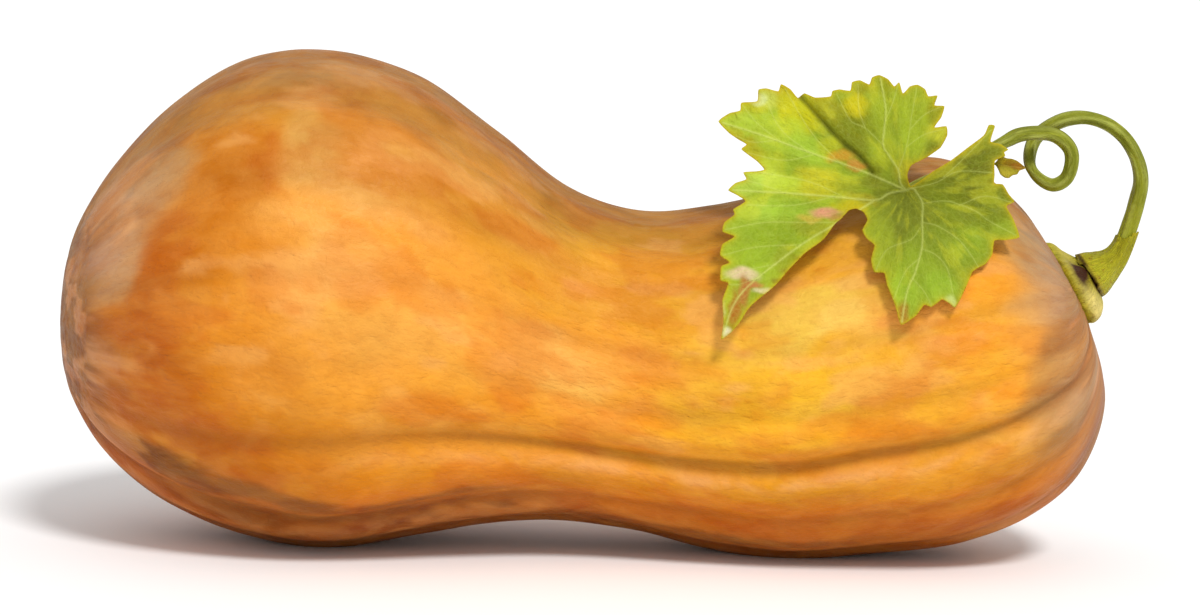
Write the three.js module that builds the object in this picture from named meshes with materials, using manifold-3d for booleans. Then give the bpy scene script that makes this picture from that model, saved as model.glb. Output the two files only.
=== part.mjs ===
// A butternut squash lying on its side, with its stalk, curl and two leaves.
// Millimetres. +X runs from the blossom end to the stem end, +Z is up, -Y is the showing side.
// Places are given from the blossom end of the fruit at x = 0, z = 0 being the surface it lies on.
import * as THREE from "three";
import { mergeVertices } from "three/addons/utils/BufferGeometryUtils.js";
import Module from "manifold-3d";

const wasm = await Module();
wasm.setup();

// ---- driving dimensions ----

const JOINT_GAP = 0.35; // clearance between two pieces that grow out of each other
const POINT_MERGE = 1e-4; // points closer than this are one point

// The fruit: its side outline over the top and under the belly, both from blossom end to stem end.
const BLOSSOM_POLE = [0, 54];
const STEM_POLE = [252, 68.5];
const TOP_OUTLINE = [
  [1, 67.5], [4.5, 79.5], [13, 93.5], [27, 108.5], [45, 119.8], [65, 122.4], [87, 116.9], [107, 103.6],
  [125, 90.2], [143, 84.5], [161, 86.4], [180, 91], [198, 96.8], [214, 99.8], [227, 96.7], [238, 88],
  [244.5, 79.2], [248.5, 73.6],
];
const UNDER_OUTLINE = [
  [1, 41.5], [4.5, 32], [13, 19.8], [27, 9.2], [46, 1.8], [67, -1.3], [88, 2.2], [107, 5.6],
  [126, 6.9], [144, 4.8], [162, 1], [182, -1.3], [203, 0.8], [225, 4], [242, 11], [254.5, 22.5],
  [260.3, 40], [256.4, 57.5],
];
const FRUIT_SEGMENTS_ROUND = 64;
const FRUIT_SEGMENTS_LONG = 40;
const FULLNESS = 0.98; // width of a cross-section over its height

// The grooves between the ribs: degrees from the top ridge towards the showing side, and depth.
const GROOVES = [
  [12, 0.5], [32, 0.8], [54, 0.4], [77, 0.5], [96, 0.6], [114, 1.8], [137, 1.4], [160, 0.9],
  [200, 0.9], [222, 1.2], [243, 1.6], [263, 0.8], [283, 0.6], [305, 0.7], [328, 0.6], [350, 0.5],
];
const GROOVE_HALF_WIDTH = 5.5; // degrees
const FULL_GROOVE_RADIUS = 30; // grooves fade out where the fruit is thinner than this

// The stalk: its centre line out of the fruit, and its radius at each distance along that line.
const STALK_LINE = [[248.6, 67.2], [251.6, 69], [256.9, 72], [261.2, 75.3], [263.6, 78.9], [265.2, 83.6]];
const STALK_PROFILE = [
  [0, 0], [0.4, 8.5], [3.4, 11.2], [5.6, 11.2], [7.6, 9.2], [8.4, 6.4], [8.8, 4.6], [9.8, 4.4],
  [10.2, 5.3], [12.2, 4.9], [14.6, 3.5], [17.4, 2.7], [20.6, 2.4], [23.4, 2.2], [23.8, 0],
];
const FOOT_LOBES = 5;
const FOOT_LOBE_SHARE = 0.06;
const FOOT_LOBE_PHASE = 0.4;
const FOOT_END = 8; // the lobes end where the waist begins
const STALK_SEGMENTS_ROUND = 26;
const STALK_SEGMENTS_LONG = 28;

// The vine: it leaves the stalk, arches over, makes one loop and ends behind the leaf.
const VINE_RADIUS = 1.65;
const VINE_LINE = [
  [265.4, 0, 84.3], [266.5, -1, 89.4], [267.1, -3, 95.1], [266, -4.5, 100.4], [262.9, -6, 105.6],
  [258.2, -7, 109.4], [253, -8, 111.1], [248, -8.5, 111], [243.6, -8, 109.2], [240.3, -7, 106.2],
  [238.8, -8, 102.8], [238.7, -10, 99.2], [240.5, -12, 95.8], [244.1, -13, 94.2], [247.6, -13.5, 96],
  [249.1, -14, 99.8], [248.5, -14, 103.6], [245.5, -14, 106.4], [241.4, -14.5, 107.4], [235.2, -16.5, 107],
  [230.2, -19.5, 104.8], [219.6, -25.2, 99.9], [208.6, -29.6, 95.3],
];
const VINE_STEPS = 76;
const VINE_SIDES = 5; // segments in each half turn

// The leaf: where its veins meet, and its margin as [right, up] from there, lobe after lobe.
const LEAF_JUNCTION = [206.2, -34, 93.9];
const LEAF_THICKNESS = 0.7;
const UPPER_LEFT_LOBE = [
  [-44.8, 14.6], [-42.2, 16.6], [-39.6, 17.4], [-39.3, 19.2], [-35.5, 19.7], [-35.2, 22.4], [-33.3, 22.8],
  [-30.4, 22.2], [-29.7, 23.9], [-27.5, 22.8], [-25.6, 20.7],
];
const TOP_LOBE = [
  [-24.1, 21.9], [-21.5, 21], [-17.9, 21.4], [-17.4, 22.7], [-15.7, 23.1], [-13.1, 22.9], [-12.6, 24.9],
  [-10.7, 25.4], [-8.5, 24.5], [-7.8, 26.2], [-6.1, 26.8], [-4, 25.9], [-2.5, 24.2], [-1.3, 25.2],
  [-0.4, 22.6], [1.3, 24.3], [3.3, 24.7], [5, 23.7], [5.7, 22.1], [7.9, 22.3], [7.2, 20], [9.6, 19.8],
  [8.8, 17.2], [7.1, 14.8], [10, 15.1], [10.2, 13], [8.5, 10.1], [5.5, 8], [1.3, 5.8], [0.3, 3.5],
];
const RIGHT_LOBE = [
  [1.2, 1], [6.4, 4.5], [10.8, 7.1], [15.3, 10.2], [19.3, 13.1], [20.6, 15.5], [22.1, 15.3], [20.9, 11.7],
  [23.2, 11.1], [25.1, 9.9], [24.1, 9.2], [24.3, 8.3], [21.8, 7.1], [21.6, 3.8], [21.4, 2], [23.4, 1.8],
  [24.7, -0.3], [26.1, -2.1], [24.2, -3.3], [25.8, -6.2], [27.1, -10.3], [23.6, -11], [21, -11.1],
  [20.4, -14.3], [18.7, -16.5], [15.7, -18.2], [14, -21.8], [11.3, -26.4], [9.9, -25.5], [8.2, -24.6],
  [7, -25.5], [5.6, -26.4], [3.9, -26], [1.8, -28.6], [-1.5, -30.7], [-2.9, -26.2], [-4.8, -21.7],
  [-5.5, -19], [-7.8, -18.9], [-8.5, -16], [-7.7, -12.8], [-9.6, -11.2], [-10.5, -9.4], [-9.3, -7.1],
  [-10.2, -5.3], [-12.1, -4.5], [-13.8, -5], [-15.5, -6.9],
];
const LOWER_LEFT_LOBE = [
  [-17.1, -8.3], [-20, -12.1], [-24.4, -15.4], [-28.2, -19.4], [-31, -22.7], [-34.5, -25.8],
  [-37.3, -28.4], [-38.9, -31], [-41.2, -33.9], [-43.5, -35.6], [-43.1, -31.7], [-43.4, -26.6],
  [-42.1, -22.7], [-44, -22.1], [-43.8, -18.9], [-41.9, -17.9], [-44.1, -16.4], [-43.6, -13.8],
  [-40.8, -11.9], [-43.6, -10.9], [-43.2, -8.8], [-40.8, -6.9], [-41.1, -5.7], [-38.2, -3.8],
];
const LEFT_LOBE = [
  [-40.1, -2.5], [-42.3, -1.4], [-40.6, 0.3], [-38, 1.3], [-38.7, 2.9], [-35.6, 3.2], [-33.7, 3.7],
  [-35.4, 5.5], [-39.2, 8.2], [-38, 9.4], [-40, 10.5], [-42.2, 11.9],
];
const SHEET_SIZE = [78, 68];
const SHEET_CELLS = [20, 18];
const SHEET_CENTRE = [-8.5, -4.5];
const CUTTER_DEPTH = 120; // the margin is cut out of the sheet with a prism this deep

// How the blade hangs: it leans forward with its height, less so at its ends, and falls off to the sides.
const LEAF_LEAN = 0.62;
const LEAF_LEAN_LOSS = 0.0001;
const LEAF_SIDE_FALL = 0.15;
const LEAF_FLAT_MIDDLE = 4;

// The young leaf: a folded bud blade that hangs from the vine on its own short stalk.
const BUD_LINE = [[225.9, -24.1, 100.8], [228.6, -23.6, 100], [232, -23.2, 99.6], [235.7, -23, 99.3]];
const BUD_PROFILE = [
  [0, 0], [0.1, 0.6], [0.25, 0.8], [0.4, 2.1], [0.6, 2.7], [0.8, 1.9], [0.95, 0.7], [1, 0],
];
const BUD_FLATNESS = 0.28;
const BUD_CUP = 0.09;
const BUD_SEGMENTS_ROUND = 14;
const BUD_SEGMENTS_LONG = 16;

// Colour and roughness of each piece.
const FINISHES = {
  skin: [0xdb8b35, 0.45],
  stalk: [0xa3a021, 0.6],
  vine: [0x8f9a2c, 0.5],
  leaf: [0x8fb52e, 0.6],
  bud: [0xb59a1c, 0.6],
};

// ---- helpers ----

function toSolid(geometry) {
  const bare = geometry.clone();
  bare.deleteAttribute("normal");
  bare.deleteAttribute("uv");
  const merged = mergeVertices(bare, POINT_MERGE);
  const mesh = new wasm.Mesh({
    numProp: 3,
    vertProperties: merged.attributes.position.array,
    triVerts: new Uint32Array(merged.index.array),
  });
  return new wasm.Manifold(mesh);
}

function toGeometry(solid) {
  const mesh = solid.getMesh();
  const geometry = new THREE.BufferGeometry();
  geometry.setAttribute("position", new THREE.BufferAttribute(mesh.vertProperties, 3));
  geometry.setIndex(new THREE.BufferAttribute(mesh.triVerts, 1));
  geometry.computeVertexNormals();
  return geometry;
}

// A ball whose every point is moved by place(run, turn): run 0 to 1 from pole to pole, turn round it.
function shapedBall(segmentsRound, segmentsLong, place) {
  const geometry = new THREE.SphereGeometry(1, segmentsRound, segmentsLong);
  geometry.deleteAttribute("uv");
  geometry.deleteAttribute("normal");
  const position = geometry.attributes.position;
  for (let i = 0; i < position.count; i++) {
    const run = Math.acos(THREE.MathUtils.clamp(position.getY(i), -1, 1)) / Math.PI;
    const turn = Math.atan2(position.getZ(i), position.getX(i));
    const point = place(run, turn);
    position.setXYZ(i, point.x, point.y, point.z);
  }
  const merged = mergeVertices(geometry, POINT_MERGE);
  merged.computeVertexNormals();
  return merged;
}

function namedMesh(name, geometry, [colour, roughness]) {
  const material = new THREE.MeshStandardMaterial({ color: colour, roughness, metalness: 0 });
  const mesh = new THREE.Mesh(geometry, material);
  mesh.name = name;
  return mesh;
}

// ---- the fruit ----

const fruitOutline = new THREE.CatmullRomCurve3(
  [BLOSSOM_POLE, ...TOP_OUTLINE, STEM_POLE, ...UNDER_OUTLINE.toReversed()].map(
    ([x, z]) => new THREE.Vector3(x, 0, z),
  ),
  true,
  "catmullrom",
);

function grooveDepth(turn, radius) {
  const degrees = THREE.MathUtils.radToDeg(turn);
  let depth = 0;
  for (const [at, deep] of GROOVES) {
    const away = THREE.MathUtils.euclideanModulo(degrees - at + 180, 360) - 180;
    depth += deep * Math.exp(-((away / GROOVE_HALF_WIDTH) ** 2));
  }
  return depth * Math.min(1, radius / FULL_GROOVE_RADIUS);
}

function fruitPoint(run, turn) {
  const top = fruitOutline.getPoint(run / 2);
  const under = fruitOutline.getPoint(1 - run / 2);
  const centre = top.clone().add(under).multiplyScalar(0.5);
  const up = top.clone().sub(centre);
  const radius = up.length();
  const reach = radius - grooveDepth(turn, radius);
  const point = centre.add(up.normalize().multiplyScalar(Math.cos(turn) * reach));
  point.y = -Math.sin(turn) * reach * FULLNESS;
  point.z = Math.max(point.z, 0);
  return point;
}

function squashBody() {
  return shapedBall(FRUIT_SEGMENTS_ROUND, FRUIT_SEGMENTS_LONG, fruitPoint);
}

// ---- the stalk ----

function fruitStalk(fruit) {
  const line = new THREE.CatmullRomCurve3(STALK_LINE.map(([x, z]) => new THREE.Vector3(x, 0, z)));
  const length = line.getLength();
  const profile = new THREE.SplineCurve(
    STALK_PROFILE.map(([along, radius]) => new THREE.Vector2(along, radius)),
  );
  const end = STALK_PROFILE.at(-1)[0];
  const whole = shapedBall(STALK_SEGMENTS_ROUND, STALK_SEGMENTS_LONG, (run, turn) => {
    const { x: along, y: radius } = profile.getPoint(run);
    const at = THREE.MathUtils.clamp(along / end, 0, 1);
    const centre = line.getPointAt(at);
    const forward = line.getTangentAt(at);
    const lobes = 1 + FOOT_LOBE_SHARE * Math.cos(FOOT_LOBES * turn + FOOT_LOBE_PHASE) * (along < FOOT_END);
    const reach = Math.max(radius, 0) * lobes;
    centre.x -= forward.z * Math.cos(turn) * reach;
    centre.z += forward.x * Math.cos(turn) * reach;
    centre.y = -Math.sin(turn) * reach;
    return centre;
  });
  const outward = line.getTangentAt(STALK_PROFILE[2][0] / length).multiplyScalar(JOINT_GAP);
  const clearedFruit = toSolid(fruit).translate(outward.x, outward.y, outward.z);
  return toGeometry(toSolid(whole).subtract(clearedFruit));
}

// ---- the vine ----

function vine() {
  const line = new THREE.CatmullRomCurve3(VINE_LINE.map((point) => new THREE.Vector3(...point)));
  const section = new THREE.Shape();
  section.absarc(0, 0, VINE_RADIUS, 0, 2 * Math.PI);
  return new THREE.ExtrudeGeometry(section, {
    steps: VINE_STEPS,
    curveSegments: VINE_SIDES,
    extrudePath: line,
  });
}

// ---- the leaf ----

// How far the blade stands in front of the fruit's middle, right and up being measured from its junction.
function leafDepth(right, up) {
  const lean = LEAF_LEAN * up - LEAF_LEAN_LOSS * up ** 3;
  const fall = LEAF_SIDE_FALL * (Math.hypot(right, LEAF_FLAT_MIDDLE) - LEAF_FLAT_MIDDLE);
  return LEAF_JUNCTION[1] + lean + fall;
}

function leaf() {
  const margin = [...UPPER_LEFT_LOBE, ...TOP_LOBE, ...RIGHT_LOBE, ...LOWER_LEFT_LOBE, ...LEFT_LOBE];
  const shape = new THREE.Shape(margin.map(([right, up]) => new THREE.Vector2(right, up)));
  const prism = new THREE.ExtrudeGeometry(shape, { depth: CUTTER_DEPTH, bevelEnabled: false });
  prism.rotateX(Math.PI / 2);
  const [width, height] = SHEET_SIZE;
  const [columns, rows] = SHEET_CELLS;
  const sheet = new THREE.BoxGeometry(width, LEAF_THICKNESS, height, columns, 1, rows);
  sheet.translate(SHEET_CENTRE[0], LEAF_THICKNESS / 2, SHEET_CENTRE[1]);
  const position = sheet.attributes.position;
  for (let i = 0; i < position.count; i++) {
    position.setY(i, position.getY(i) + leafDepth(position.getX(i), position.getZ(i)));
  }
  const blade = toGeometry(toSolid(sheet).intersect(toSolid(prism)));
  blade.translate(LEAF_JUNCTION[0], 0, LEAF_JUNCTION[2]);
  return blade;
}

function youngLeaf() {
  const line = new THREE.CatmullRomCurve3(BUD_LINE.map((point) => new THREE.Vector3(...point)));
  const profile = new THREE.SplineCurve(
    BUD_PROFILE.map(([at, half]) => new THREE.Vector2(at, half)),
  );
  return shapedBall(BUD_SEGMENTS_ROUND, BUD_SEGMENTS_LONG, (run, turn) => {
    const { x: at, y: half } = profile.getPoint(run);
    const centre = line.getPointAt(THREE.MathUtils.clamp(at, 0, 1));
    const reach = Math.max(half, 0);
    const high = Math.cos(turn) * reach;
    centre.z += high;
    centre.y += BUD_CUP * high ** 2 - Math.sin(turn) * reach * BUD_FLATNESS;
    return centre;
  });
}

// ---- the whole ----

const squash = new THREE.Group();
const fruit = squashBody();
squash.add(namedMesh("squash_body", fruit, FINISHES.skin));
squash.add(namedMesh("fruit_stalk", fruitStalk(fruit), FINISHES.stalk));
squash.add(namedMesh("vine", vine(), FINISHES.vine));
squash.add(namedMesh("leaf", leaf(), FINISHES.leaf));
squash.add(namedMesh("young_leaf", youngLeaf(), FINISHES.bud));

// The part's frame starts under the middle of its bounding box.
const box = new THREE.Box3().setFromObject(squash);
const middle = box.getCenter(new THREE.Vector3());
squash.position.set(-middle.x, -middle.y, -box.min.z);
squash.updateMatrixWorld(true);

export default squash;
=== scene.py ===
# %% [markdown]
# # A butternut squash with its stalk, curl and leaves
#
# One ripe squash lies on its side. A corky stalk still holds a piece of vine, which arches over,
# makes a loop and carries one big leaf and one young leaf. Nothing here is man-made, so every
# shape is grown from a few curves and a little seeded chance rather than cut from blocks.
#
# The solid model gives the place and the size of each piece. This lesson makes the surfaces.

import itertools
import math

import bpy
import numpy as np
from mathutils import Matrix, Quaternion, Vector
from mathutils.geometry import delaunay_2d_cdt


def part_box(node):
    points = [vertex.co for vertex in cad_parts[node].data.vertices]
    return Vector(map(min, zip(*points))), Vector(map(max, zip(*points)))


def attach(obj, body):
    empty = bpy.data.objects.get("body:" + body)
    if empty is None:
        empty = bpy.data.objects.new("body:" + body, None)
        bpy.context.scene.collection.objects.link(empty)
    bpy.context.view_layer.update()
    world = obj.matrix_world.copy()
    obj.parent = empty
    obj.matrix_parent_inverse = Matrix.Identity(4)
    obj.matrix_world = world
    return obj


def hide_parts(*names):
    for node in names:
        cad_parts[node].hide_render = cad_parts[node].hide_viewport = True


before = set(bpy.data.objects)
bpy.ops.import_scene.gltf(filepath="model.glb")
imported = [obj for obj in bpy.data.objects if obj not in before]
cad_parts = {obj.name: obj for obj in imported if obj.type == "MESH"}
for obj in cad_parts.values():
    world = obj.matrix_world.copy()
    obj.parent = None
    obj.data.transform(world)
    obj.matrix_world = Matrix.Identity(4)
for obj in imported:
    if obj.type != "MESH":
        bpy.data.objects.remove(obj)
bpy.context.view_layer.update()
BLOSSOM_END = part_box("squash_body")[0].x
MM = 0.001

# %% [markdown]
# ## Where things are
#
# The shapes are described the way a grower would measure them: millimetres from the blossom end,
# up from the table, and towards or away from the showing side. One function turns such places
# into the metres of the scene.

# %% From the grower's millimetres to the scene
def in_scene(places):
    """Turns (n, 3) millimetres, counted from the blossom end, into metres in the scene."""
    moved = np.asarray(places, float) * MM
    moved[:, 0] += BLOSSOM_END
    return moved


def smooth_line(points, steps, closed=False):
    """A smooth curve through points. steps counts in points, so 2.5 is halfway from point 2 to 3."""
    points = np.asarray(points, float)
    steps = np.asarray(steps, float)
    last = len(points)
    if not closed:
        steps = np.clip(steps, 0, last - 1 - 1e-9)
    low = np.floor(steps).astype(int)
    part = (steps - low)[..., None]
    if closed:
        before, start, end, after = (points[(low + k) % last] for k in (-1, 0, 1, 2))
    else:
        longer = np.vstack([2 * points[0] - points[1], points, 2 * points[-1] - points[-2]])
        before, start, end, after = (longer[low + k] for k in (0, 1, 2, 3))
    bend = 2 * before - 5 * start + 4 * end - after
    twist = 3 * (start - end) + after - before
    return start + 0.5 * part * (end - before + part * (bend + part * twist))


def smooth_ramp(low, high, value):
    """0 below low, 1 above high, and a soft rise between."""
    part = np.clip((value - low) / (high - low), 0, 1)
    return part * part * (3 - 2 * part)


def hill(value, middle, half_width):
    """1 at the middle, with a soft fall to 0 on both sides."""
    return np.exp(-(((value - middle) / half_width) ** 2))

# %% [markdown]
# ## The camera
#
# A long lens a little above the table shows the whole length with hardly any perspective. The
# squash rests on two bulbs of different size, and the camera is rolled a degree and a half so
# that the small end sits slightly lower in the view.

# %% Camera
LENS_MM = 100
CAMERA_DISTANCE = 0.8333
CAMERA_HEIGHT_ANGLE = math.radians(6)
CAMERA_ROLL = math.radians(1.48)
AIM = Vector((-0.0005, 0, 0.0603))


def make_camera():
    camera = bpy.data.objects.new("camera", bpy.data.cameras.new("camera"))
    camera.data.lens = LENS_MM
    back = Vector((0, -math.cos(CAMERA_HEIGHT_ANGLE), math.sin(CAMERA_HEIGHT_ANGLE)))
    camera.location = AIM + back * CAMERA_DISTANCE
    level = (-back).to_track_quat("-Z", "Y")
    camera.rotation_mode = "QUATERNION"
    camera.rotation_quaternion = level @ Quaternion((0, 0, 1), CAMERA_ROLL)
    camera.data.clip_end = 100
    bpy.context.scene.collection.objects.link(camera)
    bpy.context.scene.camera = camera
    return camera


camera = make_camera()
print("camera at", [round(v, 3) for v in camera.location])

# %% [markdown]
# ## Chance that looks grown
#
# Skin, bark and blades are never even. `soft_noise` gives smooth random values in space, the same
# ones on every run because its table is made from a fixed seed. Adding finer and finer layers of
# it gives the uneven look of living tissue.

# %% Soft noise
NOISE_CELLS = 32


def soft_noise(places, seed, layers=1):
    """Smooth values from 0 to 1 at (n, 3) places, with one new value for each unit of distance."""
    table = np.random.default_rng(seed).random((NOISE_CELLS,) * 3)
    total, share = 0.0, 0.0
    for layer in range(layers):
        spread = np.asarray(places, float) * 2**layer + 7.3 * layer
        cell = np.floor(spread).astype(int)
        part = spread - cell
        part = part * part * (3 - 2 * part)
        value = 0.0
        for corner in itertools.product((0, 1), repeat=3):
            weight = np.prod(np.where(corner, part, 1 - part), axis=-1)
            index = (cell + corner) % NOISE_CELLS
            value = value + weight * table[index[..., 0], index[..., 1], index[..., 2]]
        total = total + value / 2**layer
        share += 1 / 2**layer
    return total / share

# %% [markdown]
# ## Painting with soft patches
#
# A ripe squash is blotched: deep orange where the sun reached it, pale salmon and grey-brown
# elsewhere. Some blotches also carry painted light and shade: part of the grey-brown of the top and
# the ends, the dark brown underneath and at the foot of the big bulb, and a light line under the main
# groove. Each blotch is a soft oval of colour in a flat map of the skin. Painting them one over the
# other onto the mesh's points gives colour that the material can then streak and roughen.

# %% Patches of colour
def linear(code):
    """A six-letter colour code as the linear numbers that Blender works in."""
    shown = np.array([int(code[k:k + 2], 16) for k in (0, 2, 4)]) / 255
    return np.where(shown <= 0.04045, shown / 12.92, ((shown + 0.055) / 1.055) ** 2.4)


# How crisp a patch's edge is: 1 fades like a glow, and 4 is nearly cut out.
PATCH_EDGE = 2.4


def painted(base, map_places, patches):
    """Colours at (n, 2) places on a map: a base, then each patch laid over it.

    The base is a colour code or ready colours. A patch is (across, up, half width, half height,
    colour code, strength).
    """
    colours = np.tile(linear(base), (len(map_places), 1)) if isinstance(base, str) else base
    for across, up, half_across, half_up, code, strength in patches:
        far = ((map_places[:, 0] - across) / half_across) ** 2 + ((map_places[:, 1] - up) / half_up) ** 2
        cover = (strength * np.exp(-far**PATCH_EDGE))[:, None]
        colours = colours * (1 - cover) + linear(code) * cover
    return colours

# %% [markdown]
# ## From numbers to a mesh
#
# The fruit, the stalk and the vine are tubes of one kind or another: rings of points that shrink
# to a pole at each end. `ring_faces` joins such rings with four-sided faces and closes the poles.
# Masks and colours, worked out for each point, ride along as attributes that a material can read.

# %% Mesh builders
def add_attributes(mesh, numbers):
    """Stores one value, or one colour or place, for each point of the mesh under each name."""
    for name, values in numbers.items():
        values = np.asarray(values, float)
        kind = {1: "FLOAT", 2: "FLOAT_VECTOR"}[values.ndim]
        made = mesh.attributes.new(name, kind, "POINT")
        key = "value" if values.ndim == 1 else "vector"
        made.data.foreach_set(key, np.ascontiguousarray(values, np.float32).ravel())


def add_piece(name, points, faces, numbers, node):
    """A smooth piece in the scene that stands for one node of the solid model."""
    mesh = bpy.data.meshes.new(name)
    mesh.from_pydata(points.tolist(), [], faces)
    mesh.validate()
    mesh.shade_smooth()
    add_attributes(mesh, numbers)
    piece = bpy.data.objects.new(name, mesh)
    bpy.context.scene.collection.objects.link(piece)
    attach(piece, "root")
    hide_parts(node)
    print(name, len(mesh.vertices), "points", len(mesh.polygons), "faces")
    return piece


def ring_faces(rings, around):
    """Faces of a closed tube whose first and last points are its poles."""
    faces = []
    for ring in range(rings - 1):
        start = 1 + ring * around
        for k in range(around):
            after = (k + 1) % around
            faces.append((start + k, start + after, start + around + after, start + around + k))
    last = 1 + rings * around
    end_ring = last - around
    for k in range(around):
        after = (k + 1) % around
        faces.append((0, 1 + after, 1 + k))
        faces.append((last, end_ring + k, end_ring + after))
    return faces


def tube_grid(rings, around):
    """The run (0 to 1) and the turn of every point of a tube, poles first and last."""
    run = np.repeat(np.arange(1, rings + 1) / (rings + 1), around)
    turn = np.tile(np.arange(around) / around * 2 * np.pi, rings)
    return np.concatenate([[0], run, [1]]), np.concatenate([[0], turn, [0]])

# %% [markdown]
# ## The body of the fruit
#
# A squash swells from a flower between two poles, the blossom scar and the stalk. Its side
# outline is one closed curve through both poles. Each station along the fruit takes a point on
# the upper outline and its partner on the lower one, and a nearly round section stands between
# them. Grooves run from pole to pole and part the ribs; each keeps its own depth and drifts a
# little on its way. Where the fruit lies on the table its skin is pressed flat.
#
# The flower leaves a scar at its end: a corky dent as wide as a fingertip, with a low rim.

# %% The side outline
BLOSSOM_POLE = (0, 54)
STEM_POLE = (252, 68.5)
TOP_OUTLINE = [
    (1, 67.5), (4.5, 79.5), (13, 93.5), (27, 108.5), (45, 119.8), (65, 122.4), (87, 116.9), (107, 103.6),
    (125, 90.2), (143, 84.5), (161, 86.4), (180, 91), (198, 96.8), (214, 99.8), (227, 96.7), (238, 88),
    (244.5, 79.2), (248.5, 73.6),
]
UNDER_OUTLINE = [
    (1, 41.5), (4.5, 32), (13, 19.8), (27, 9.2), (46, 1.8), (67, -1.3), (88, 2.2), (107, 5.6),
    (126, 6.9), (144, 4.8), (162, 1), (182, -1.3), (203, 0.8), (225, 4), (242, 11), (254.5, 22.5),
    (260.3, 40), (256.4, 57.5),
]
FULLNESS = 0.98
OUTLINE = [BLOSSOM_POLE, *TOP_OUTLINE, STEM_POLE, *reversed(UNDER_OUTLINE)]
STATIONS = len(TOP_OUTLINE) + 1

# %% [markdown]
# The grooves are listed by where they lie around the fruit, in degrees from the top ridge towards
# the showing side, at the blossom end and at the stem end, with their depth at both ends in mm. Two
# of them on the showing side are deep folds. Next to the stalk all the grooves climb towards the
# top, because the stalk sits above the middle of that end.
#
# A fold has three parts that catch the eye: the dark crease at its bottom, the skin that swells
# on both sides of it, and the narrow ledge below it that faces the light. The crease is darkened
# with painted shade and the ledge is lightened with a painted highlight. Each gets its own term or
# mask, in degrees away from the middle of the groove.

# %% The grooves
GROOVES = [
    (12, 14, 0.3, 0.5), (31, 33, 0.9, 0.9), (56, 53, 0.2, 0.4), (79, 76, 0.3, 0.6), (100, 95, 0.2, 0.7),
    (119, 112.4, 0.7, 2.5), (146, 134, 1.7, 0.8), (162, 158, 0.9, 0.9), (199, 201, 0.8, 0.9),
    (222, 222, 1.0, 1.3), (241, 244, 0.8, 1.9), (263, 263, 0.6, 0.8), (284, 282, 0.4, 0.7),
    (305, 305, 0.5, 0.8), (327, 329, 0.6, 0.7), (350, 350, 0.4, 0.5),
]
# Shares of the fruit's length between which a groove turns, deepens and climbs.
TURN_SPAN, DEEPEN_SPAN, CLIMB_SPAN = (0.2, 0.8), (0.15, 0.65), (0.7, 0.95)
END_CLIMB = 15.0
GROOVE_DRIFT = 3.5
GROOVE_HALF_WIDTH = 4.6
# Folds deeper than the first depth get narrower, by this share at the second depth.
FOLD_NARROWING, NARROWING_SPAN = 0.2, (1.6, 2.4)
# The swelling: its height as a share of the groove's depth, its place and width in half widths.
LIP_SHARE, LIP_PLACE, LIP_HALF_WIDTH = 0.28, 2.3, 1.4
CREASE_HALF_WIDTH, CREASE_FULL_DEPTH = 2.6, 1.8
LEDGE_BELOW, LEDGE_HALF_WIDTH = 5.6, 2.3
LEDGE_FIRST_DEPTH, LEDGE_DEPTH_SPAN = 0.9, 1.2
# Where the fruit is thinner than this, in mm, the groove, its crease and its ledge fade out.
GROOVE_FADE, CREASE_FADE, LEDGE_FADE = 26, 8, 14


def groove_shape(run, degrees, radius, wander):
    """For each point: how deep the skin lies, in mm, and masks for painted crease shade and a painted ledge
    highlight.
    """
    depth, crease_shade, ledge_highlight = np.zeros_like(run), np.zeros_like(run), np.zeros_like(run)
    for number, (at_blossom, at_stem, deep_blossom, deep_stem) in enumerate(GROOVES):
        centre = at_blossom + (at_stem - at_blossom) * smooth_ramp(*TURN_SPAN, run)
        centre = centre + GROOVE_DRIFT * (wander[:, number % wander.shape[1]] - 0.5)
        centre = centre - END_CLIMB * smooth_ramp(*CLIMB_SPAN, run) * math.sin(math.radians(at_stem))
        deep = deep_blossom + (deep_stem - deep_blossom) * smooth_ramp(*DEEPEN_SPAN, run)
        away = (degrees - centre + 180) % 360 - 180
        width = GROOVE_HALF_WIDTH * (1 - FOLD_NARROWING * smooth_ramp(*NARROWING_SPAN, deep))
        fold = hill(away, 0, width)
        lip = hill(np.abs(away), LIP_PLACE * width, LIP_HALF_WIDTH * width)
        depth += deep * (fold - LIP_SHARE * lip)
        # Painted shade: the crease at the bottom of a deep groove is darker.
        dark = np.clip(deep / CREASE_FULL_DEPTH, 0, 1)
        crease_shade = np.maximum(crease_shade, dark * hill(away, 0, CREASE_HALF_WIDTH))
        # Painted highlight: the ledge below a deep groove is lighter.
        below = away * np.sign(180 - centre) - LEDGE_BELOW
        lit = np.clip((deep - LEDGE_FIRST_DEPTH) / LEDGE_DEPTH_SPAN, 0, 1)
        ledge_highlight = np.maximum(ledge_highlight, lit * hill(below, 0, LEDGE_HALF_WIDTH))
    fades = (np.minimum(1, radius / fade) for fade in (GROOVE_FADE, CREASE_FADE, LEDGE_FADE))
    return tuple(part * fade for part, fade in zip((depth, crease_shade, ledge_highlight), fades))

# %% [markdown]
# Now the skin itself. Slow noise makes the ribs swell unevenly, and quick shallow noise keeps the
# skin from looking turned on a lathe. The scar is a dent in the blossom pole with a rim round it.

# %% Points of the skin
SKIN_RINGS = 250
SKIN_AROUND = 372
# Height in mm, length along the fruit in mm, and how quickly the pattern changes around it.
SWELL_MM, SWELL_LENGTH, SWELL_AROUND = 1.5, 34, 1.6
DIMPLE_MM, DIMPLE_LENGTH, DIMPLE_AROUND = 0.22, 9, 9
SWELL_FADE, DIMPLE_FADE = 20, 12
# Four slower noises, shared out among the grooves, make them drift.
DRIFTS, DRIFT_STRETCH = 4, (0.8, 0.2, 0.2)
SCAR_RADIUS, SCAR_DEPTH = 4.4, 0.8
RIM_RADIUS, RIM_HALF_WIDTH, RIM_HEIGHT = 1.45 * SCAR_RADIUS, 1.6, 0.25


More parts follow.
